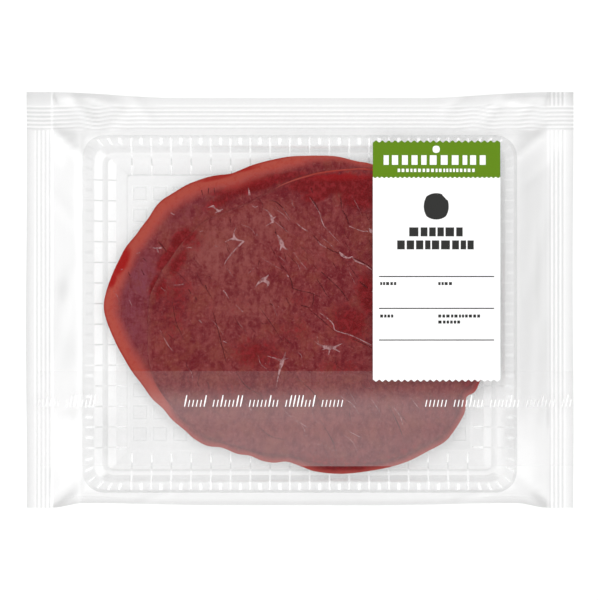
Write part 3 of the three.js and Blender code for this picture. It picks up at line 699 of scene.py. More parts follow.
def film_rows():
    turns = np.linspace(0, math.pi / 2, 11)
    return joined_lines(
        FOLD_INNER - FOLD["width"] * np.sin(turns), evenly(FOLD_INNER, LEAVE_FRONT, 0.6),
        evenly(LEAVE_FRONT, LEAVE_BACK, GRID_STEP), evenly(LEAVE_BACK, BACK_INNER, 0.46),
        evenly(BACK_INNER, BACK_OUTER, BACK_SEAL["pitch"] / 6), evenly(BACK_OUTER, HALF_WIDTH, 0.7),
    )


# Modelling


def deselect():
    if bpy.context.object and bpy.context.object.mode != "OBJECT":
        bpy.ops.object.mode_set(mode="OBJECT")
    bpy.ops.object.select_all(action="DESELECT")


def named(piece, name):
    piece.name = name
    piece.data.name = name
    return piece


def read_points(mesh):
    flat = np.empty(len(mesh.vertices) * 3)
    mesh.vertices.foreach_get("co", flat)
    return flat.reshape(-1, 3)


def write_points(mesh, x, y, z):
    points = np.stack([np.broadcast_to(v, np.shape(x)) for v in (x, y, z)], axis=1)
    mesh.vertices.foreach_set("co", (points * MM).ravel())
    mesh.update()


def grid_lines(along, count):
    """Which line of a new grid each point is on, from its place between -1 and 1."""
    return np.rint((along + 1) / 2 * count).astype(int)


def in_edit(piece):
    bpy.context.view_layer.objects.active = piece
    piece.select_set(True)
    bpy.ops.object.mode_set(mode="EDIT")
    bpy.ops.mesh.select_all(action="SELECT")


def out_of_edit():
    bpy.ops.object.mode_set(mode="OBJECT")


def slab(name, columns, rows, top, under, place=None):
    """A closed slab between two heights over a grid of columns and rows."""
    deselect()
    columns, rows = np.asarray(columns, float), np.asarray(rows, float)
    bpy.ops.mesh.primitive_grid_add(x_subdivisions=len(columns) - 1, y_subdivisions=len(rows) - 1, size=2)
    piece = named(bpy.context.object, name)
    in_edit(piece)
    bpy.ops.mesh.extrude_region_move(TRANSFORM_OT_translate={"value": (0, 0, 1)})
    bpy.ops.mesh.select_all(action="SELECT")
    bpy.ops.mesh.normals_make_consistent(inside=False)
    out_of_edit()
    at = read_points(piece.data)
    column, row = grid_lines(at[:, 0], len(columns) - 1), grid_lines(at[:, 1], len(rows) - 1)
    upper = at[:, 2] > 0.5
    grid_x, grid_y = np.meshgrid(columns, rows)
    tops, unders = top(grid_x, grid_y), under(grid_x, grid_y)
    out_x, out_y = place(grid_x, grid_y) if place else (grid_x, grid_y)
    z = np.where(upper, tops[row, column], unders[row, column])
    write_points(piece.data, out_x[row, column], out_y[row, column], z)
    return piece


def smooth_shaded(piece, degrees=35):
    deselect()
    piece.select_set(True)
    bpy.context.view_layer.objects.active = piece
    bpy.ops.object.shade_smooth_by_angle(angle=math.radians(degrees))


def point_values(piece, name, values):
    layer = piece.data.attributes.new(name, "FLOAT", "POINT")
    layer.data.foreach_set("value", np.asarray(values, dtype=np.float32))


def join(pieces, name):
    deselect()
    for piece in pieces:
        piece.select_set(True)
    bpy.context.view_layer.objects.active = pieces[0]
    bpy.ops.object.join()
    return named(bpy.context.object, name)


def dress(piece, material, nodes=()):
    piece.data.materials.clear()
    piece.data.materials.append(material)
    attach(piece, BODY)
    if nodes:
        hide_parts(*nodes)
    return piece


def let_light_through(piece):
    """Keeps a clear piece from shading what it covers."""
    piece.visible_shadow = False
    piece.visible_diffuse = False


# Materials


class Nodes:
    """Short calls for building one material's node tree."""

    def __init__(self, name):
        self.material = bpy.data.materials.new(name)
        self.material.use_nodes = True
        self.tree = self.material.node_tree
        self.tree.nodes.clear()

    def add(self, kind, **sockets):
        node = self.tree.nodes.new(kind)
        for key, value in sockets.items():
            numbered = key[0] == "i" and key[1:].isdigit()
            socket = node.inputs[int(key[1:]) if numbered else key.replace("_", " ")]
            if hasattr(value, "links"):
                self.tree.links.new(value, socket)
            else:
                socket.default_value = value
        return node

    def math(self, operation, a, b=0.5, clamp=False):
        node = self.add("ShaderNodeMath", i0=a, i1=b)
        node.operation = operation
        node.use_clamp = clamp
        return node.outputs[0]

    def span(self, value, start, end, low=0.0, high=1.0):
        node = self.add("ShaderNodeMapRange", Value=value)
        node.interpolation_type = "SMOOTHSTEP"
        node.inputs["From Min"].default_value = start
        node.inputs["From Max"].default_value = end
        node.inputs["To Min"].default_value = low
        node.inputs["To Max"].default_value = high
        return node.outputs[0]

    def blend(self, share, a, b):
        node = self.tree.nodes.new("ShaderNodeMix")
        node.data_type = "RGBA"
        for socket, value in ((node.inputs[0], share), (node.inputs[6], a), (node.inputs[7], b)):
            if hasattr(value, "links"):
                self.tree.links.new(value, socket)
            else:
                socket.default_value = (*value, 1) if isinstance(value, tuple) and len(value) == 3 else value
        return node.outputs[2]

    def place(self, scale=(1, 1, 1), turn=0.0):
        coordinates = self.tree.nodes.new("ShaderNodeTexCoord")
        mapping = self.tree.nodes.new("ShaderNodeMapping")
        mapping.inputs["Scale"].default_value = scale
        mapping.inputs["Rotation"].default_value = (0, 0, turn)
        self.tree.links.new(coordinates.outputs["Object"], mapping.inputs["Vector"])
        return mapping.outputs[0]

    def noise(self, scale, detail=3.0, rough=0.5, place=None, warp=0.0):
        node = self.add("ShaderNodeTexNoise", Scale=scale, Detail=detail, Roughness=rough, Distortion=warp)
        self.tree.links.new(place or self.place(), node.inputs["Vector"])
        return node.outputs[0]

    def wander(self, scale, reach):
        """A small seeming shift of place."""
        node = self.add("ShaderNodeTexNoise", Scale=scale, Detail=2.0)
        self.tree.links.new(self.place(), node.inputs["Vector"])
        shift = self.add("ShaderNodeVectorMath", i0=node.outputs["Color"])
        shift.operation = "SCALE"
        shift.inputs["Scale"].default_value = reach
        return shift.outputs[0]

    def attribute(self, name):
        node = self.tree.nodes.new("ShaderNodeAttribute")
        node.attribute_name = name
        return node.outputs["Fac"]

    def bump(self, height, strength, distance):
        node = self.add("ShaderNodeBump", Strength=strength, Distance=distance, Height=height)
        return node.outputs[0]

    def finish(self, shader):
        output = self.tree.nodes.new("ShaderNodeOutputMaterial")
        self.tree.links.new(shader, output.inputs["Surface"])
        return self.material


def clear_material(name, tint, grey, shine, slant, haze, milk_and_highlight, haze_colour, roughness, bump):
    """Clear thin plastic, glossy where it slants; its shade attribute paints shade and highlight on it."""
    n = Nodes(name)
    scale, strength, distance = bump
    normal = {"Normal": n.bump(n.noise(scale, 2.0), strength, distance)}
    shade = n.attribute("shade")
    # Above 0 the shade attribute paints shade as a greyer tint, below 0 painted highlight as a white haze
    greyer = n.math("MAXIMUM", shade, 0.0)
    whiter = n.math("MAXIMUM", n.math("MULTIPLY", shade, -1.0), 0.0)
    facing = n.add("ShaderNodeLayerWeight", Blend=0.5, **normal).outputs["Facing"]
    # Painted highlight also takes some gloss away
    calm = n.span(whiter, 0.0, 0.08, slant, 0.02 * slant)
    glance = n.math("MULTIPLY_ADD", n.math("POWER", facing, 4.0), calm)
    glance.node.inputs[2].default_value = shine
    passed = n.blend(greyer, (tint, tint, tint), (grey, grey, grey))
    clear = n.add("ShaderNodeBsdfTransparent", Color=passed).outputs[0]
    gloss = n.add("ShaderNodeBsdfGlossy", Color=(1, 1, 1, 1), Roughness=roughness, **normal).outputs[0]
    film = n.add("ShaderNodeMixShader", i0=glance, i1=clear, i2=gloss).outputs[0]
    # White haze: the plastic's own slight haze, plus painted highlight on the film and tray and real
    # milkiness on the strip
    body = n.add("ShaderNodeBsdfPrincipled", Base_Color=(*haze_colour, 1), Roughness=0.5).outputs[0]
    amount = n.math("MULTIPLY_ADD", whiter, milk_and_highlight, clamp=True)
    amount.node.inputs[2].default_value = haze
    return n.finish(n.add("ShaderNodeMixShader", i0=amount, i1=film, i2=body).outputs[0])


def meat_material(name, colours, bloom):
    """Cured meat: mottled lean with seams, pale specks, moist deep red patches, bloom and a smoked rim."""
    n = Nodes(name)
    blotches = n.noise(80.0, 4.0, 0.6, warp=0.4)
    cells = n.noise(560.0, 5.0, 0.68, warp=0.5)
    fibres = n.noise(520.0, 4.0, 0.62, place=n.place((1.0, 0.35, 1.0), math.radians(-38)))
    grain = n.noise(1100.0, 3.0, 0.65)
    mottle = n.math("ADD", n.math("MULTIPLY", cells, 0.4), n.math("MULTIPLY", fibres, 0.35))
    mottle = n.math("ADD", mottle, n.math("MULTIPLY", blotches, 0.25))
    colour = n.blend(n.span(mottle, 0.41, 0.6), tuple(colours.meat_dark), tuple(colours.meat))
    warm = n.noise(150.0, 5.0, 0.7)
    colour = n.blend(n.span(warm, 0.44, 0.66, 0.0, 0.55), colour, tuple(colours.meat_warm))
    colour = n.blend(n.span(grain, 0.54, 0.72, 0.0, 0.45), colour, tuple(colours.speck))
    colour = n.blend(n.span(grain, 0.46, 0.3, 0.0, 0.5), colour, tuple(colours.meat_dark))
    shift = n.add("ShaderNodeVectorMath", i0=n.place(), i1=n.wander(190.0, 0.006)).outputs[0]
    seams = n.add("ShaderNodeTexVoronoi", Vector=shift, Scale=170.0)
    seams.feature = "DISTANCE_TO_EDGE"
    in_seam = n.span(seams.outputs["Distance"], 0.06, 0.0)
    seam = n.math("MULTIPLY", in_seam, n.span(blotches, 0.4, 0.62, 0.05, 0.45))
    colour = n.blend(seam, colour, tuple(colours.deep_red_and_shadow))
    hazy = n.math("MULTIPLY", n.attribute("haze"), n.span(mottle, 0.4, 0.6, 0.2, 0.9))
    colour = n.blend(hazy, colour, tuple(bloom))
    ragged = n.math("MULTIPLY", n.math("SUBTRACT", mottle, 0.5), 2.2)
    # Deep red patches, which on the lower slice also paint the shadow beside the upper slice's edge
    deep_red_and_shadow = n.math("ADD", n.attribute("deep_red_and_shadow"), ragged)
    streaks = n.span(cells, 0.44, 0.62, 0.0, 0.9)
    deep_colour = n.blend(streaks, tuple(colours.deep_red_and_shadow), tuple(colours.deep_light))
    deep_colour = n.blend(n.span(n.attribute("hot"), 0.1, 0.9, 0.0, 0.8), deep_colour, tuple(colours.moist))
    colour = n.blend(n.span(deep_red_and_shadow, 0.25, 0.75, 0.0, 0.92), colour, deep_colour)
    edge = n.math("ADD", n.attribute("rim"), n.math("MULTIPLY", n.math("SUBTRACT", blotches, 0.5), 4.0))
    inner = n.blend(n.span(edge, 2.2, 4.6), tuple(colours.rim), tuple(colours.rim_soft))
    inner = n.blend(n.span(cells, 0.5, 0.62, 0.0, 0.35), inner, tuple(colours.rim_deep))
    rim_colour = n.blend(n.span(n.attribute("rim"), 0.9, 0.2, 0.0, 0.8), inner, tuple(colours.rim_deep))
    rim_colour = n.blend(n.span(n.attribute("hot"), 0.2, 0.8), rim_colour, tuple(colours.hot))
    colour = n.blend(n.span(edge, 7.4, 3.4, 0.0, 0.95), colour, rim_colour)
    relief = n.math("ADD", fibres, n.math("MULTIPLY", blotches, 1.5))
    body = n.add(
        "ShaderNodeBsdfPrincipled", Base_Color=colour, Roughness=0.45, Normal=n.bump(relief, 0.5, 0.0004)
    )
    body.inputs["Specular IOR Level"].default_value = 0.15
    return n.finish(body.outputs[0])


def vein_material(name, colour, cover, spread):
    """Fat or shadow that lets some of the meat show through, unevenly."""
    n = Nodes(name)
    clear = n.add("ShaderNodeBsdfTransparent").outputs[0]
    body = n.add("ShaderNodeBsdfPrincipled", Base_Color=(*colour, 1), Roughness=0.5).outputs[0]
    uneven = n.span(n.noise(500.0, 3.0, 0.6), 0.35, 0.65, cover - spread, min(1.0, cover + spread))
    return n.finish(n.add("ShaderNodeMixShader", i0=uneven, i1=clear, i2=body).outputs[0])


def paper_material(name, colour, roughness, gloss=0.5, grain=0.0):
    n = Nodes(name)
    body = n.add("ShaderNodeBsdfPrincipled", Base_Color=(*colour, 1), Roughness=roughness)
    body.inputs["Specular IOR Level"].default_value = gloss
    if grain:
        n.tree.links.new(n.bump(n.noise(900.0), grain, 0.0002), body.inputs["Normal"])
    return n.finish(body.outputs[0])


# Settings


def length_property(name, description, default, least, most):
    return FloatProperty(
        name=name, description=description, default=default, min=least, max=most, unit="LENGTH"
    )


def colour_property(name, description, default):
    return FloatVectorProperty(
        name=name, description=description, default=default, min=0, max=1, subtype="COLOR"
    )


class PackSizes(PropertyGroup):
    film_thickness: length_property("Film", "Thickness of the sealed film", 0.00026, 0.0001, 0.001)
    wrinkle_height: length_property("Wrinkles", "Height of the film's wrinkles", 0.0003, 0, 0.001)
    crimp_height: length_property("Crimps", "Height of the ridges of the seals", 0.00045, 0, 0.0008)
    tray_thickness: length_property("Tray", "Thickness of the tray's sheet", 0.00035, 0.0002, 0.0008)
    rib_height: length_property("Ribs", "Height of the tray's ribs", 0.00032, 0, 0.0008)
    square_height: length_property("Squares", "Height of the squares of the tray's base", 0.0004, 0, 0.001)
    label_thickness: length_property("Label", "Thickness of the label", 0.00012, 0.00005, 0.0003)


class PackColours(PropertyGroup):
    meat: colour_property("Meat", "Lighter lean meat", srgb(124, 52, 53))
    meat_dark: colour_property("Dark meat", "Darker lean meat", srgb(96, 16, 26))
    meat_warm: colour_property("Warm meat", "Browner lean meat", srgb(126, 60, 48))
    speck: colour_property("Specks", "Pale specks in the lean meat", srgb(146, 84, 82))
    bloom: colour_property("Bloom", "Pale bloom on the upper slice", srgb(132, 70, 66))
    cool_bloom: colour_property("Cool bloom", "Pale bloom on the lower slice", srgb(116, 54, 68))
    # Also the painted shadow beside the upper slice's edge on the lower slice
    deep_red_and_shadow: colour_property("Deep red", "Moist deep red patches", srgb(98, 1, 6))
    deep_light: colour_property("Lighter deep red", "Streaks in the deep red patches", srgb(126, 26, 32))
    moist: colour_property("Bright red", "Brightest of the moist patches", srgb(134, 6, 12))
    rim: colour_property("Rim", "Smoked rim of a slice", srgb(162, 68, 56))
    rim_soft: colour_property("Soft rim", "Paler inside of the smoked rim", srgb(154, 66, 60))
    rim_deep: colour_property("Deep rim", "Deeper smoked rim", srgb(146, 34, 24))
    hot: colour_property("Bright rim", "Moist bright red places of the rim", srgb(146, 6, 2))
    split: colour_property("Splits", "Dark splits in the meat", srgb(84, 2, 8))
    fat: colour_property("Fat", "Marbling", srgb(172, 128, 130))
    header: colour_property("Header", "Header of the label", srgb(91, 127, 18))
    paper: colour_property("Paper", "Paper of the label", srgb(245, 245, 245))
    ink: colour_property("Ink", "Print of the label", srgb(45, 45, 44))


# Stage


class PACK_OT_stage(Operator):
    """Adds the pale floor, the lights and the camera"""

    bl_idname = "meat_pack.stage"
    bl_label = "Stage"

    def execute(self, context):
        scene = context.scene
        deselect()
        bpy.ops.mesh.primitive_plane_add(size=8, location=(0, 0, 0))
        floor = named(context.object, "floor")
        write_points(floor.data, *(read_points(floor.data).T[:2] / MM), FLOOR)
        floor.data.materials.append(paper_material("floor_white", (FLOOR_WHITE,) * 3, 0.9))
        world = bpy.data.worlds.new("studio")
        world.use_nodes = True
        background = world.node_tree.nodes["Background"]
        background.inputs["Color"].default_value = (1, 1, 1, 1)
        background.inputs["Strength"].default_value = WORLD_STRENGTH
        scene.world = world
        for name, place, size, power, in_gloss in LIGHTS:
            add_softbox(name, place, size, power, in_gloss)
        scene.camera = add_camera()
        scene.view_settings.view_transform = "Standard"
        if hasattr(scene, "cycles"):
            scene.cycles.transparent_max_bounces = CLEAR_LAYERS
        return {"FINISHED"}


def add_softbox(name, place, size, power, in_gloss):
    """A soft light that faces the pack."""
    deselect()
    bpy.ops.object.light_add(type="AREA", location=place)
    light = bpy.context.object
    light.name = name
    light.data.shape = "RECTANGLE"
    light.data.size, light.data.size_y = size
    light.data.energy = power
    x, y, z = place
    light.rotation_euler = (math.atan2(math.hypot(x, y), z), 0, math.atan2(y, x) + math.pi / 2)
    light.visible_camera = False
    light.visible_glossy = in_gloss


def add_camera():
    """The camera straight over the middle of the photograph."""
    deselect()
    away = PHOTO_SIZE * UNIT * MM * LENS / SENSOR
    x, y = spot((PHOTO_SIZE / 2, PHOTO_SIZE / 2))
    bpy.ops.object.camera_add(location=(x * MM, y * MM, away + CAMERA_OVER))
    camera = bpy.context.object
    camera.data.lens, camera.data.sensor_width = LENS, SENSOR
    camera.data.clip_end = 20
    return camera


# Film bag


class PACK_OT_film(Operator):
    """Adds the clear film bag with its crimped seals"""

    bl_idname = "meat_pack.film"
    bl_label = "Film"

    def execute(self, context):
        def top(x, y):
            return folded(y, film_top(x, y), film_under(x, y))[0]

        def under(x, y):
            return folded(y, film_top(x, y), film_under(x, y))[1]

        bag = slab("film_bag", film_columns(), film_rows(), top, under, bag_edge)
        smooth_shaded(bag, 70)
        at = read_points(bag.data) / MM
        point_values(bag, "shade", film_shade(at[:, 0], at[:, 1]))
        material = clear_material(
            "clear_film", tint=0.985, grey=0.8, shine=0.007, slant=0.7, haze=0.002, milk_and_highlight=0.3,
            haze_colour=(0.96, 0.96, 0.96), roughness=0.07, bump=(70.0, 0.2, 0.001),
        )
        let_light_through(dress(bag, material, ("bag_lower", "bag_upper")))
        return {"FINISHED"}


# Tray


def rib_stations(centre, widths):
    """Lines over one rib, each with how much of the rib's height it has."""
    foot, crest = widths
    return [(centre - foot, 0), (centre - crest, 1), (centre + crest, 1), (centre + foot, 0)]


def side_stations(ribs):
    """Lines along one side of the tray: place, flange rib and wall rib."""
    stations = []
    half = (ribs["count"] - 1) / 2
    for k in range(ribs["count"]):
        centre = (k - half) * ribs["pitch"]
        stations += [(at, rise, rise) for at, rise in rib_stations(centre, THIN_RIB)]
        if k < ribs["count"] - 1:
            stations += [(at, rise, 0) for at, rise in rib_stations(centre + ribs["pitch"] / 2, THICK_RIB)]
    return stations


def corner_stations(length):
    """Lines round one corner of the tray, as shares of its way, with the flange ribs that fan out there."""
    pitch = length / (len(CORNER_RIBS) + 1)
    marks = []
    for k, widths in enumerate(CORNER_RIBS):
        marks += [(at / length, rise) for at, rise in rib_stations((k + 1) * pitch, widths)]
    for k in range(len(CORNER_RIBS) + 1):
        for part in range(CORNER_BETWEEN):
            marks.append(((k + 0.28 + 0.22 * part) * pitch / length, 0))
    return sorted(marks)


def tray_perimeter():
    """Lines round the tray: side, place or share, flange rib, wall rib."""
    long_side, short_side = side_stations(LONG_RIBS), side_stations(SHORT_RIBS)
    lines = []
    for quarter in range(4):
        side = short_side if quarter % 2 == 0 else long_side
        lines += [(quarter, "side", at, flange, wall) for at, flange, wall in side]
        lines += [(quarter, "corner", share, flange, 0) for share, flange in corner_stations(CORNER_WAY)]
    return lines


def tray_point(line, inset, radius):
    """Place of one line round the tray at some inset, in the tray's own middle."""
    quarter, kind, at = line[:3]
    half = (TRAY_HALF_LENGTH - inset, TRAY_HALF_WIDTH - ACROSS_SHARE * inset)
    ends = [(ribs["count"] - 1) / 2 * ribs["pitch"] + THIN_RIB[0] for ribs in (LONG_RIBS, SHORT_RIBS)]
    out, along = (0, 1) if quarter % 2 == 0 else (1, 0)
    if kind == "side":
        spot_out, spot_along = half[out], at
    else:
        straight = half[along] - radius - ends[along]
        arc = radius * math.pi / 2
        after = half[out] - radius - ends[out]
        way = at * (straight + arc + after)
        if way <= straight:
            spot_out, spot_along = half[out], ends[along] + way
        elif way <= straight + arc:
            turn = (way - straight) / radius
            spot_out = half[out] - radius + radius * math.cos(turn)
            spot_along = half[along] - radius + radius * math.sin(turn)
        else:
            spot_out, spot_along = half[out] - radius - (way - straight - arc), half[along]
    for _ in range(quarter):
        spot_out, spot_along = -spot_along, spot_out
    return spot_out, spot_along


def tray_tones(inset):
    """Painted shade and highlight of the tray's four sides at some inset, and of its ribs."""
    at = [row[0] for row in TRAY_SHADES]
    sides = [np.interp(inset, at, [row[1][side] for row in TRAY_SHADES]) for side in range(4)]
    ribs = [np.interp(inset, at, [row[2][kind] for row in TRAY_SHADES]) for kind in range(4)]
    return sides, ribs


def mitred(tones, quarter, mitre):
    """The tone of one side, which goes over to the next side's round the corner."""
    return tones[quarter] * (1 - mitre) + tones[(quarter + 1) % 4] * mitre


def tray_walls(rib):
    """The tray's flange and walls, drawn ring by ring from its lip to its base."""
    lines = tray_perimeter()
    count = len(lines)
    deselect()
    bpy.ops.mesh.primitive_circle_add(vertices=count, radius=1, fill_type="NOTHING")
    walls = named(bpy.context.object, "tray_walls")
    in_edit(walls)
    for _ in range(len(TRAY_SECTION) - 1):
        bpy.ops.mesh.extrude_region_move(TRANSFORM_OT_translate={"value": (0, 0, 1)})
    out_of_edit()
    at = read_points(walls.data)
    ring = np.rint(at[:, 2]).astype(int)
    line = np.rint(np.arctan2(at[:, 1], at[:, 0]) / (2 * math.pi) * count).astype(int) % count
    insets = np.array([row[0] for row in TRAY_SECTION])
    heights = np.array([row[1] for row in TRAY_SECTION])
    down, inwards = -np.gradient(heights), np.gradient(insets)
    length = np.hypot(down, inwards)
    mitres = [float(smooth(entry[2], *MITRE)) if entry[1] == "corner" else 0.0 for entry in lines]
    table = np.empty((len(TRAY_SECTION), count, 4))
    for k, (inset, height, radius, flange, wall) in enumerate(TRAY_SECTION):
        sides, ribs = tray_tones(inset)
        in_wall = float(smooth(inset, *WALL_TOP) * (1 - smooth(inset, *WALL_FOOT)))
        for j, entry in enumerate(lines):
            quarter, _, _, flange_rib, wall_rib = entry
            rise = rib * max(FLANGE_RIB * flange * flange_rib, wall * wall_rib)
            x, y = tray_point(entry, inset + rise * down[k] / length[k], radius)
            # Painted shade and highlight: each side's own, the ribs' on their crests, and more shade on the
            # right wall towards the back
            backwards = float(smooth(y + TRAY_Y, *TOWARDS_BACK))
            plain = (sides[0] + RIGHT_WALL_BACK * backwards * in_wall, *sides[1:])
            right_ribs = ribs[0] + (sides[0] - ribs[0]) * backwards * RIGHT_RIBS_LOST
            left_ribs = ribs[1] + (ribs[2] - ribs[1]) * backwards
            shade = mitred(plain, quarter, mitres[j])
            crest = mitred((right_ribs, ribs[3], left_ribs, ribs[3]), quarter, mitres[j])
            shade += (crest - shade) * max(flange * flange_rib, wall * wall_rib)
            table[k, j] = (x, y + TRAY_Y, height + rise * inwards[k] / length[k], shade)
    placed = table[ring, line]
    write_points(walls.data, placed[:, 0], placed[:, 1], placed[:, 2])
    point_values(walls, "shade", placed[:, 3])
    return walls


def tray_base(square_height):
    """The tray's flat base, with its raised squares set in one by one."""
    (pitch_x, pitch_y), size, (many, rows) = SQUARES["pitch"], SQUARES["size"], SQUARES["count"]
    starts_x = [-(many - 1) / 2 * pitch_x - size / 2 + k * pitch_x for k in range(many)]
    starts_y = [-(rows - 1) / 2 * pitch_y - size / 2 + k * pitch_y for k in range(rows)]
    columns = np.array([-BASE_HALF[0], *(v for s in starts_x for v in (s, s + size)), BASE_HALF[0]])
    lines = np.array([-BASE_HALF[1], *(v for s in starts_y for v in (s, s + size)), BASE_HALF[1]])
    deselect()
    bpy.ops.mesh.primitive_grid_add(x_subdivisions=len(columns) - 1, y_subdivisions=len(lines) - 1, size=2)
    base = named(bpy.context.object, "tray_base")
    at = read_points(base.data)
    column, row = grid_lines(at[:, 0], len(columns) - 1), grid_lines(at[:, 1], len(lines) - 1)
    write_points(base.data, columns[column], lines[row] + TRAY_Y, TRAY_SECTION[-1][1])
    for face in base.data.polygons:
        corners = [(column[v], row[v]) for v in face.vertices]
        face.select = bool(min(c for c, _ in corners) % 2 == 1 and min(r for _, r in corners) % 2 == 1)
    select_only_faces(base)
    bpy.context.view_layer.objects.active = base
    base.select_set(True)
    bpy.ops.object.mode_set(mode="EDIT")
    bpy.ops.mesh.select_mode(type="FACE")
    for thickness, depth in ((SQUARE_LINE, 0), (SQUARE_LINE, square_height), (SQUARE_LINE, 0)):
        bpy.ops.mesh.inset(thickness=thickness * MM, depth=depth, use_individual=True)
    out_of_edit()
    x, y = read_points(base.data).T[:2] / MM
    along, across = x / pitch_x + (many - 1) / 2, (y - TRAY_Y) / pitch_y + (rows - 1) / 2
    into_x = size / 2 - np.abs(along - np.rint(along)) * pitch_x
    into_y = size / 2 - np.abs(across - np.rint(across)) * pitch_y
    into = np.minimum(into_x, into_y) / SQUARE_LINE
    # Painted highlight and shade on the squares' edges, on a base that is greyer towards the front and right
    shade = BASE_SHADE + BASE_FALL * (ramp(-y, -45, 60) + 0.6 * ramp(x, -60, 60))
    inset_shade = np.interp(into, (0, 1, 2, 3), SQUARE_SHADES)
    point_values(base, "shade", shade + np.where(into > 0.5, inset_shade, 0))
    return base


def select_only_faces(piece):
    """Makes the selection of edges and points follow the selected faces."""
    mesh = piece.data
    chosen = [face for face in mesh.polygons if face.select]
    mesh.vertices.foreach_set("select", np.zeros(len(mesh.vertices), bool))
    mesh.edges.foreach_set("select", np.zeros(len(mesh.edges), bool))
    keys = set()
    for face in chosen:
        keys.update(face.edge_keys)
        for v in face.vertices:
            mesh.vertices[v].select = True
    for edge in mesh.edges:
        edge.select = tuple(sorted(edge.vertices)) in keys


def close_tray(tray):
    """Fills the gap between the tray's walls and its base, and turns its faces one way."""
    mesh = tray.data
    uses = np.zeros(len(mesh.edges), int)
    loops = np.empty(len(mesh.loops), int)
    mesh.loops.foreach_get("edge_index", loops)
    np.add.at(uses, loops, 1)
    at = read_points(mesh) / MM
    flat = np.abs(at[:, 2] - TRAY_SECTION[-1][1]) < 0.05
    mesh.vertices.foreach_set("select", np.zeros(len(mesh.vertices), bool))
    mesh.polygons.foreach_set("select", np.zeros(len(mesh.polygons), bool))
    for edge in mesh.edges:
        a, b = edge.vertices
        edge.select = bool(uses[edge.index] == 1 and flat[a] and flat[b])
        if edge.select:
            mesh.vertices[a].select = mesh.vertices[b].select = True
    bpy.ops.object.mode_set(mode="EDIT")
    bpy.ops.mesh.select_mode(type="EDGE")
    bpy.ops.mesh.fill(use_beauty=False)
    bpy.ops.mesh.select_all(action="SELECT")
    bpy.ops.mesh.normals_make_consistent(inside=False)
    out_of_edit()
    if sum(face.normal.z * face.area for face in mesh.polygons) < 0:
        mesh.flip_normals()


class PACK_OT_tray(Operator):
    """Adds the clear moulded tray with its ribs and squares"""

    bl_idname = "meat_pack.tray"
    bl_label = "Tray"

    def execute(self, context):
        sizes = context.scene.pack_sizes
        tray = join([tray_walls(sizes.rib_height / MM), tray_base(sizes.square_height)], "clear_tray")
        close_tray(tray)
        sheet = tray.modifiers.new("sheet", "SOLIDIFY")
        sheet.thickness = sizes.tray_thickness
        sheet.offset = -1
        bpy.ops.object.modifier_apply(modifier=sheet.name)
        smooth_shaded(tray, 40)
        material = clear_material(
            "clear_tray_plastic", tint=0.997, grey=0.845, shine=0.014, slant=0.4, haze=0.01, milk_and_highlight=0.35,
            haze_colour=(0.97, 0.97, 0.97), roughness=0.1, bump=(45.0, 0.03, 0.001),
        )
        let_light_through(dress(tray, material, ("tray",)))
        return {"FINISHED"}


# Slices


def closed_curve(points, count):
    """Evenly spaced points of a smooth closed curve through some points."""
    through = np.array([spot(p) for p in points])
    steps = 24
    curve = []
    for k in range(len(through)):
        a, b, c, d = (through[(k + j - 1) % len(through)] for j in range(4))
        for t in np.arange(steps) / steps:
            curve.append(curve_point(a, b, c, d, t))
    closed = np.vstack([curve, curve[:1]])
    way = np.concatenate([[0], np.cumsum(np.hypot(*np.diff(closed, axis=0).T))])
    at = np.linspace(0, way[-1], count, endpoint=False)
    return np.stack([np.interp(at, way, closed[:, 0]), np.interp(at, way, closed[:, 1])], axis=1)


def slice_body(name, outline, rings):
    """A grid rolled up and closed at both ends: each of its rings is a share of an outline at some height."""
    segments = len(outline)
    deselect()
    bpy.ops.mesh.primitive_grid_add(x_subdivisions=segments, y_subdivisions=len(rings) - 1, size=2)
    body = named(bpy.context.object, name)
    at = read_points(body.data)
    around, ring = grid_lines(at[:, 0], segments) % segments, grid_lines(at[:, 1], len(rings) - 1)
    centre = outline.mean(axis=0)
    x, y, z = np.empty(len(at)), np.empty(len(at)), np.empty(len(at))
    for k, (share, height) in enumerate(rings):
        chosen = ring == k
        px, py = (centre + (outline[around[chosen]] - centre) * share).T
        x[chosen], y[chosen], z[chosen] = height(px, py, share)
    write_points(body.data, x, y, z)
    in_edit(body)
    bpy.ops.mesh.remove_doubles(threshold=0.000001)
    bpy.ops.mesh.normals_make_consistent(inside=False)
    out_of_edit()
    return body


def relief(x, y):
    """Soft unevenness of a slice's face."""
    return 0.12 * ripple(x, y, 41, 7, (14, 40)) + 0.05 * ripple(x, y, 43, 8, (4, 10))


def lower_face(x, y):
    """Height of the lower slice's face."""
    return STACK_TOP - LOWER_DIP + relief(x + 30, y)


def upper_foot(x, y):
    """Height at which the upper slice lies on the lower one."""
    return STACK_TOP + UPPER_GAP + relief(x + 30, y)


def upper_face(x, y):
    return upper_foot(x, y) + SLICE + 0.6 * relief(x, y + 50)


def rounding(share, start, drop, power):
    """How far a face has dropped near its outline."""
    return drop * ramp(share, start, 1) ** power


def edge_distance(x, y, outline):
    nearest = np.full(x.shape, 99.0)
    for start, end in zip(outline, np.roll(outline, -1, axis=0)):
        away, _ = to_line(x, y, start, end)
        nearest = np.minimum(nearest, away)
    return nearest


def tray_limit(z):
    """How far a slice may reach at some height inside the tray: half length and half width."""
    insets = [row[0] for row in TRAY_SECTION][::-1]
    heights = [row[1] for row in TRAY_SECTION][::-1]
    inset = np.interp(z, heights, insets)
    return TRAY_HALF_LENGTH - inset - ROOM_IN_TRAY, TRAY_HALF_WIDTH - ACROSS_SHARE * inset - ROOM_IN_TRAY


def kept_in(x, y, z):
    """A place of the stack's side, moved inside the tray."""
    half_x, half_y = tray_limit(z)
    return np.clip(x, -half_x, half_x), TRAY_Y + np.clip(y - TRAY_Y, -half_y, half_y)


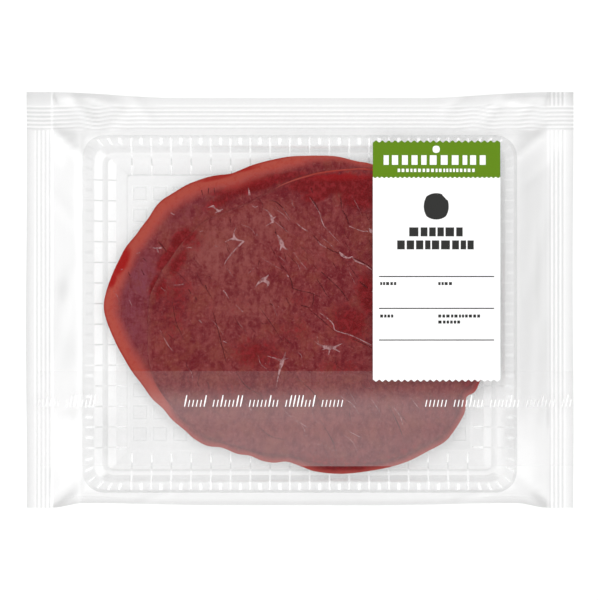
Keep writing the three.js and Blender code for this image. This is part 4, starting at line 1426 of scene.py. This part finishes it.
def lower_rings():
    """Rings of the stack: its face, its side with the edges of the slices below, and its underside."""
    floor = TRAY_SECTION[-1][1] + STACK_FOOT

    def face(x, y, share):
        return x, y, lower_face(x, y) - rounding(share, **LOWER_ROUND)

    def side(level):
        def at(x, y, share):
            z = floor + (STACK_TOP - STACK_SIDE["below_top"] - floor) * (1 - level)
            phase = (1 - level) * SLICES_BELOW
            tuck = STACK_SIDE["tuck"] * abs(math.sin(math.pi * phase)) ** 0.5
            turn, below = np.arctan2(y, x), math.floor(phase)
            shift = 0.5 * np.sin(3 * turn + 1.7 * below) + 0.3 * np.sin(7 * turn + below)
            reach = np.hypot(x, y)
            grow = (reach - STACK_SIDE["inset"] + tuck + STACK_SIDE["shift"] * shift) / reach
            x, y = kept_in(x * grow, y * grow, z)
            return x, y, np.full(x.shape, z)
        return at

    def under(x, y, share):
        x, y = kept_in(x, y, floor)
        return x, y, np.full(x.shape, floor)

    shares = 1 - (1 - np.linspace(0, 1, 128)) ** 1.25
    rings = [(share, face) for share in shares]
    rings += [(1.0, side(level)) for level in np.linspace(0.02, 1, 50)]
    rings += [(share, under) for share in (0.93, 0.8, 0.6, 0.4, 0.2, 0)]
    return rings


def upper_rings():
    """Rings of the upper slice: its face, its rounded edge and its underside."""

    def face(x, y, share):
        return x, y, upper_face(x, y) - rounding(share, **UPPER_ROUND)

    def under(x, y, share):
        return x, y, upper_foot(x, y) + rounding(share, **UPPER_UNDERCUT)

    shares = 1 - (1 - np.linspace(0, 1, 150)) ** 1.15
    rings = [(share, face) for share in shares]
    rings += [(share, under) for share in (0.995, 0.985, 0.97, 0.9, 0.7, 0.45, 0.2, 0)]
    return rings


def rim_reach(x, y, outline, upper):
    """Distance to the outline, made longer where the smoked rim is narrow."""
    away = edge_distance(x, y, outline)
    if upper:
        return away * 8.5 + 9 * (1 - smooth(y, 38, 47))
    bare = smooth(-y, 34, 50) + smooth(x, 30, 60) + 0.8 * smooth(x, -8, 12) * smooth(y, 30, 45)
    bare = np.clip(bare, 0, 1)
    return away * (1 + 0.8 * bare) + 3.4 * bare


def smooth_line(points, widths, step=0.5):
    """Points of a smooth line through some points, with its half widths."""
    through = np.array([spot(p) for p in points])
    padded = np.vstack([2 * through[0] - through[1], through, 2 * through[-1] - through[-2]])
    line, wide = [], []
    for k in range(len(through) - 1):
        a, b, c, d = padded[k : k + 4]
        count = max(2, int(np.hypot(*(c - b)) / step))
        for t in np.arange(count) / count:
            line.append(curve_point(a, b, c, d, t))
            wide.append(widths[k] + (widths[k + 1] - widths[k]) * t)
    return np.array([*line, through[-1]]), np.array([*wide, widths[-1]])


def ribbon(points, widths, face, scale=1.0):
    """A thin tapered ribbon of fat, or of shadow in a split, just over the face of a slice."""
    line, wide = smooth_line(points, widths)
    ahead = np.gradient(line, axis=0)
    ahead /= np.hypot(*ahead.T)[:, None] + 1e-9
    deselect()
    bpy.ops.mesh.primitive_grid_add(x_subdivisions=len(line) - 1, y_subdivisions=2, size=2)
    piece = named(bpy.context.object, "ribbon")
    at = read_points(piece.data)
    along = grid_lines(at[:, 0], len(line) - 1)
    side = at[:, 1] * wide[along] * scale
    x = line[along, 0] - ahead[along, 1] * side
    y = line[along, 1] + ahead[along, 0] * side
    write_points(piece.data, x, y, face(x, y) + VEIN_LIFT + VEIN_CROWN * (1 - np.abs(at[:, 1])))
    return piece


def stray_strokes(seed, count, length, width):
    """Seeded short strokes along the grain of the meat."""
    rng = np.random.default_rng(seed)
    strokes = []
    middle, half = STROKE_FIELD["middle"], STROKE_FIELD["half"]
    while len(strokes) < count:
        x, y = rng.uniform(*STROKE_FIELD["x"]), rng.uniform(*STROKE_FIELD["y"])
        if ((x - middle[0]) / half[0]) ** 2 + ((y - middle[1]) / half[1]) ** 2 > 1:
            continue
        turn = math.radians(rng.normal(GRAIN["turn"], GRAIN["spread"]))
        bend = rng.normal(0, GRAIN["bend"])
        reach = rng.uniform(*length) / 2
        points = []
        for way in (-1, 0, 1):
            heading = turn + bend * way
            points.append((x + reach * way * math.cos(heading), y + reach * way * math.sin(heading)))
        strokes.append((tuple(points), (0.02, rng.uniform(*width), 0.02)))
    return strokes


class PACK_OT_slices(Operator):
    """Adds the marbled slices of smoked beef"""

    bl_idname = "meat_pack.slices"
    bl_label = "Slices"

    def execute(self, context):
        colours = context.scene.pack_colours
        lower = ("lower_slices", LOWER_OUTLINE, lower_rings(), BELOW_PATCHES, LOW_HAZES, colours.cool_bloom)
        upper = ("upper_slice", UPPER_OUTLINE, upper_rings(), PATCHES, HAZES, colours.bloom)
        for name, slice_facts in (("slice_stack", lower), ("top_slice", upper)):
            node, points, rings, patches, hazes, bloom = slice_facts
            outline = closed_curve(points, OUTLINE_POINTS)
            body = slice_body(name, outline, rings)
            x, y = read_points(body.data).T[:2] / MM
            point_values(body, "rim", rim_reach(x, y, outline, node == "upper_slice"))
            # Deep red patches; on the lower slice most are a painted shadow beside the upper slice
            point_values(body, "deep_red_and_shadow", patch_cover(x, y, patches))
            point_values(body, "haze", patch_cover(x, y, hazes))
            point_values(body, "hot", patch_cover(x, y, HOT_PATCHES))
            smooth_shaded(body, 60)
            dress(body, meat_material(name + "_meat", colours, bloom), (node,))
            body.visible_diffuse = False
        return {"FINISHED"}


class PACK_OT_marbling(Operator):
    """Adds the pale flecks and veins and the dark splits of the slices"""

    bl_idname = "meat_pack.marbling"
    bl_label = "Marbling"

    def execute(self, context):
        colours = context.scene.pack_colours
        fat = [ribbon(points, widths, upper_face, FLECK_WIDTH) for points, widths in FLECKS]
        fat += [ribbon(points, widths, lower_face, FLECK_WIDTH) for points, widths in LOW_FLECKS]
        fat += [ribbon(points, widths, upper_face) for points, widths in stray_strokes(*PALE_STROKES)]
        pale = vein_material("fat_veins", tuple(colours.fat), 0.55, 0.35)
        dress(join(fat, "marbling"), pale)
        # Dark splits, dark red and partly a painted shadow in the cracks, and dark grain strokes
        dark = [ribbon(points, widths, upper_face) for points, widths in SPLITS]
        dark += [ribbon(points, widths, lower_face) for points, widths in LOW_SPLITS]
        dark += [ribbon(points, widths, upper_face) for points, widths in stray_strokes(*DARK_STROKES)]
        shadow = vein_material("dark_splits", tuple(colours.split), 0.66, 0.3)
        dress(join(dark, "splits"), shadow)
        return {"FINISHED"}


# Reseal strip


class PACK_OT_strip(Operator):
    """Adds the translucent reseal strip and its white print"""

    bl_idname = "meat_pack.strip"
    bl_label = "Reseal strip"

    def execute(self, context):
        columns = film_columns()
        columns = np.concatenate([[STRIP["left"]], columns[columns > STRIP["left"] + 0.05]])
        rows = film_rows()
        rows = rows[(rows > STRIP["bottom"] + 0.3) & (rows < STRIP["top"] - 0.3)]
        rows = np.concatenate([[STRIP["bottom"]], rows, [STRIP["top"]]])

        def top(x, y):
            return film_top(x, y) + STRIP_LIFT[1]

        def under(x, y):
            return film_top(x, y) + STRIP_LIFT[0]

        strip = slab("reseal_tape", columns, rows, top, under, bag_edge)
        smooth_shaded(strip, 60)
        at = read_points(strip.data) / MM
        milky = smooth(-at[:, 1], 31.5, 40.5) * (1 - 0.2 * np.exp(-(((at[:, 1] + 49) / 4) ** 2)))
        point_values(strip, "shade", -milky)
        material = clear_material(
            "reseal_plastic", tint=0.99, grey=0.9, shine=0.012, slant=0.5, haze=0.014, milk_and_highlight=0.042,
            haze_colour=(0.96, 0.95, 0.955), roughness=0.2, bump=(60.0, 0.05, 0.001),
        )
        let_light_through(dress(strip, material, ("reseal_strip",)))
        marks = []
        for start, end in STROKE_ROWS:
            marks += script_marks(start, end)
        print_piece = join(marks, "strip_print")
        dress(print_piece, paper_material("strip_ink", (0.96, 0.95, 0.95), 0.5))
        return {"FINISHED"}


def mark(left, top, right, bottom, height, slant=0.0, taper=0.0):
    """One small block of print, from its corners in the photograph's units."""
    x0, y0 = spot((left, bottom))
    x1, y1 = spot((right, top))
    columns, rows = evenly(x0, x1, GRID_STEP), evenly(y0, y1, GRID_STEP)

    def place(x, y):
        share = (y - y0) / (y1 - y0)
        middle = (x0 + x1) / 2
        return middle + (x - middle) * (1 - taper * np.abs(2 * share - 1)) + slant * (y - y0), y

    return slab("mark", columns, rows, lambda x, y: height(x, y) + PRINT_THICKNESS, height, place)


def script_marks(start, end):
    """A row of plain slanted strokes in groups."""
    rng = np.random.default_rng(int(start))
    marks = []
    at, foot, stroke = start, STROKES["foot"], 0

    def height(x, y):
        return film_top(x, y) + STRIP_LIFT[1] + PRINT_LIFT

    while at < end - 2:
        stroke += 1
        if stroke % STROKE_GROUPS["strokes"] == STROKE_GROUPS["space_at"]:
            at += STROKE_GROUPS["space"]
            continue
        tall = STROKES["tall"] if rng.random() < STROKE_GROUPS["tall_share"] else STROKES["low"]
        right = at + STROKES["width"]
        marks.append(mark(at, foot - tall, right, foot, height, STROKES["slant"], STROKES["taper"]))
        at += STROKES["pitch"]
    return marks


# Label


def wave(x, teeth):
    """Rounded teeth along the label: 0 at a tooth's tip and 1 in its notch."""
    phase = (x - LABEL["left"]) / (LABEL["right"] - LABEL["left"]) * teeth
    return 0.5 + 0.5 * np.cos(2 * math.pi * phase)


def label_under(x, y):
    """Underside of the label, on the film and over the strip's edge."""
    over_strip = 1 - smooth(y, STRIP["top"] + LAP[0], STRIP["top"] + LAP[1])
    return film_top(x, y) + LABEL_LIFT + (STRIP_LIFT[1] + 0.04) * over_strip


class PACK_OT_label(Operator):
    """Adds the pinked label, its header and its plain print"""

    bl_idname = "meat_pack.label"
    bl_label = "Label"

    def execute(self, context):
        thickness = context.scene.pack_sizes.label_thickness / MM
        colours = context.scene.pack_colours

        def label_top(x, y):
            return label_under(x, y) + thickness

        def header_top(x, y):
            return label_top(x, y) + HEADER_LIFT[1]

        def header_under(x, y):
            return label_top(x, y) + HEADER_LIFT[0]

        def header_print_foot(x, y):
            return header_top(x, y) + PRINT_LIFT

        def field_edge(x, y):
            at_bottom = y <= LABEL["bottom"] + 0.001
            at_top = y >= LABEL["top"] - 0.001
            cut = TEETH["depth"] * wave(x, TEETH["edge"])
            return x, np.where(at_bottom, y + cut, np.where(at_top, y - cut - 0.06, y))

        def header_edge(x, y):
            at_bottom = y <= HEADER_BOTTOM + 0.001
            at_top = y >= LABEL["top"] - 0.001
            return x, np.where(
                at_top, y - TEETH["depth"] * wave(x, TEETH["edge"]),
                np.where(at_bottom, y + TEETH["fine"] * wave(x, TEETH["header"]), y),
            )

        columns = np.linspace(LABEL["left"], LABEL["right"], TEETH["edge"] * TOOTH_COLUMNS + 1)
        rows = evenly(LABEL["bottom"], LABEL["top"], GRID_STEP)
        rows[1], rows[-2] = LABEL["bottom"] + 1.0, LABEL["top"] - 1.0
        field = slab("label_field", columns, rows, label_top, label_under, field_edge)
        smooth_shaded(field, 50)
        dress(field, paper_material("label_white", tuple(colours.paper), 0.45), ("label",))
        columns = np.linspace(LABEL["left"], LABEL["right"], TEETH["header"] * TOOTH_COLUMNS + 1)
        rows = evenly(HEADER_BOTTOM, LABEL["top"], 2.0)
        rows[1], rows[-2] = HEADER_BOTTOM + 0.9, LABEL["top"] - 1.0
        header = slab("label_band", columns, rows, header_top, header_under, header_edge)
        smooth_shaded(header, 50)
        green = paper_material("header_green", tuple(colours.header), 0.5, 0.2)
        dress(header, green, ("label_header",))
        ink = block_print("label_print", INK_ROWS, INK_SPOT, label_top, label_lines(label_top))
        dress(ink, paper_material("label_ink", tuple(colours.ink), 0.5, 0.2))
        white = block_print("header_print", HEADER_ROWS, HEADER_SPOT, header_print_foot)
        dress(white, paper_material("header_white", (0.9, 0.9, 0.9), 0.5))
        return {"FINISHED"}


def block_row(left, right, top, bottom, count, share, seed, height):
    """A row of plain blocks of uneven widths."""
    rng = np.random.default_rng(seed)
    widths = rng.uniform(0.75, 1.25, count)
    edges = left + np.concatenate([[0], np.cumsum(widths)]) / widths.sum() * (right - left)
    starts, steps = edges[:-1], np.diff(edges)
    return [mark(at, top, at + step * share, bottom, height) for at, step in zip(starts, steps)]


def label_lines(height):
    """Thin lines across the label."""
    left, right = LABEL_LINES["left"], LABEL_LINES["right"]
    return [mark(left, level - 0.5, right, level + 0.6, height) for level in LABEL_LINES["levels"]]


def round_mark(x, y, half_width, half_height, height, sides=8):
    """A plain block with rounded corners."""
    cx, cy = spot((x, y))
    half_x, half_y = half_width * UNIT, half_height * UNIT

    def place(px, py):
        u, v = (px - cx) / half_x, (py - cy) / half_y
        return cx + half_x * u * np.sqrt(1 - v * v / 2.4), cy + half_y * v * np.sqrt(1 - u * u / 2.4)

    columns = np.linspace(cx - half_x, cx + half_x, sides + 1)
    rows = np.linspace(cy - half_y, cy + half_y, sides + 1)
    return slab("mark", columns, rows, lambda a, b: height(a, b) + PRINT_THICKNESS, height, place)


def block_print(name, rows, middle, height, marks=()):
    """Rows of blocks and one rounded mark, joined to any marks that are there already."""
    marks = list(marks)
    for row in rows:
        marks += block_row(*row, height)
    marks.append(round_mark(*middle, height))
    return join(marks, name)


# Panel


class PACK_PT_panel(Panel):
    """Lists the pieces of the pack"""

    bl_label = "Meat tray pack"
    bl_idname = "PACK_PT_panel"
    bl_space_type = "VIEW_3D"
    bl_region_type = "UI"
    bl_category = "Meat pack"

    def draw(self, context):
        for group in (context.scene.pack_sizes, context.scene.pack_colours):
            for key in group.bl_rna.properties.keys():
                if key not in ("rna_type", "name"):
                    self.layout.prop(group, key)
        for operator in OPERATORS:
            self.layout.operator(operator.bl_idname)


OPERATORS = (
    PACK_OT_stage, PACK_OT_film, PACK_OT_tray, PACK_OT_slices, PACK_OT_marbling, PACK_OT_strip, PACK_OT_label,
)
CLASSES = (PackSizes, PackColours, *OPERATORS, PACK_PT_panel)


def register():
    for entry in CLASSES:
        bpy.utils.register_class(entry)
    bpy.types.Scene.pack_sizes = PointerProperty(type=PackSizes)
    bpy.types.Scene.pack_colours = PointerProperty(type=PackColours)


def unregister():
    del bpy.types.Scene.pack_colours
    del bpy.types.Scene.pack_sizes
    for entry in reversed(CLASSES):
        bpy.utils.unregister_class(entry)


def main():
    register()
    bpy.ops.meat_pack.stage()
    bpy.ops.meat_pack.film()
    bpy.ops.meat_pack.tray()
    bpy.ops.meat_pack.slices()
    bpy.ops.meat_pack.marbling()
    bpy.ops.meat_pack.strip()
    bpy.ops.meat_pack.label()


if __name__ == "__main__":
    main()
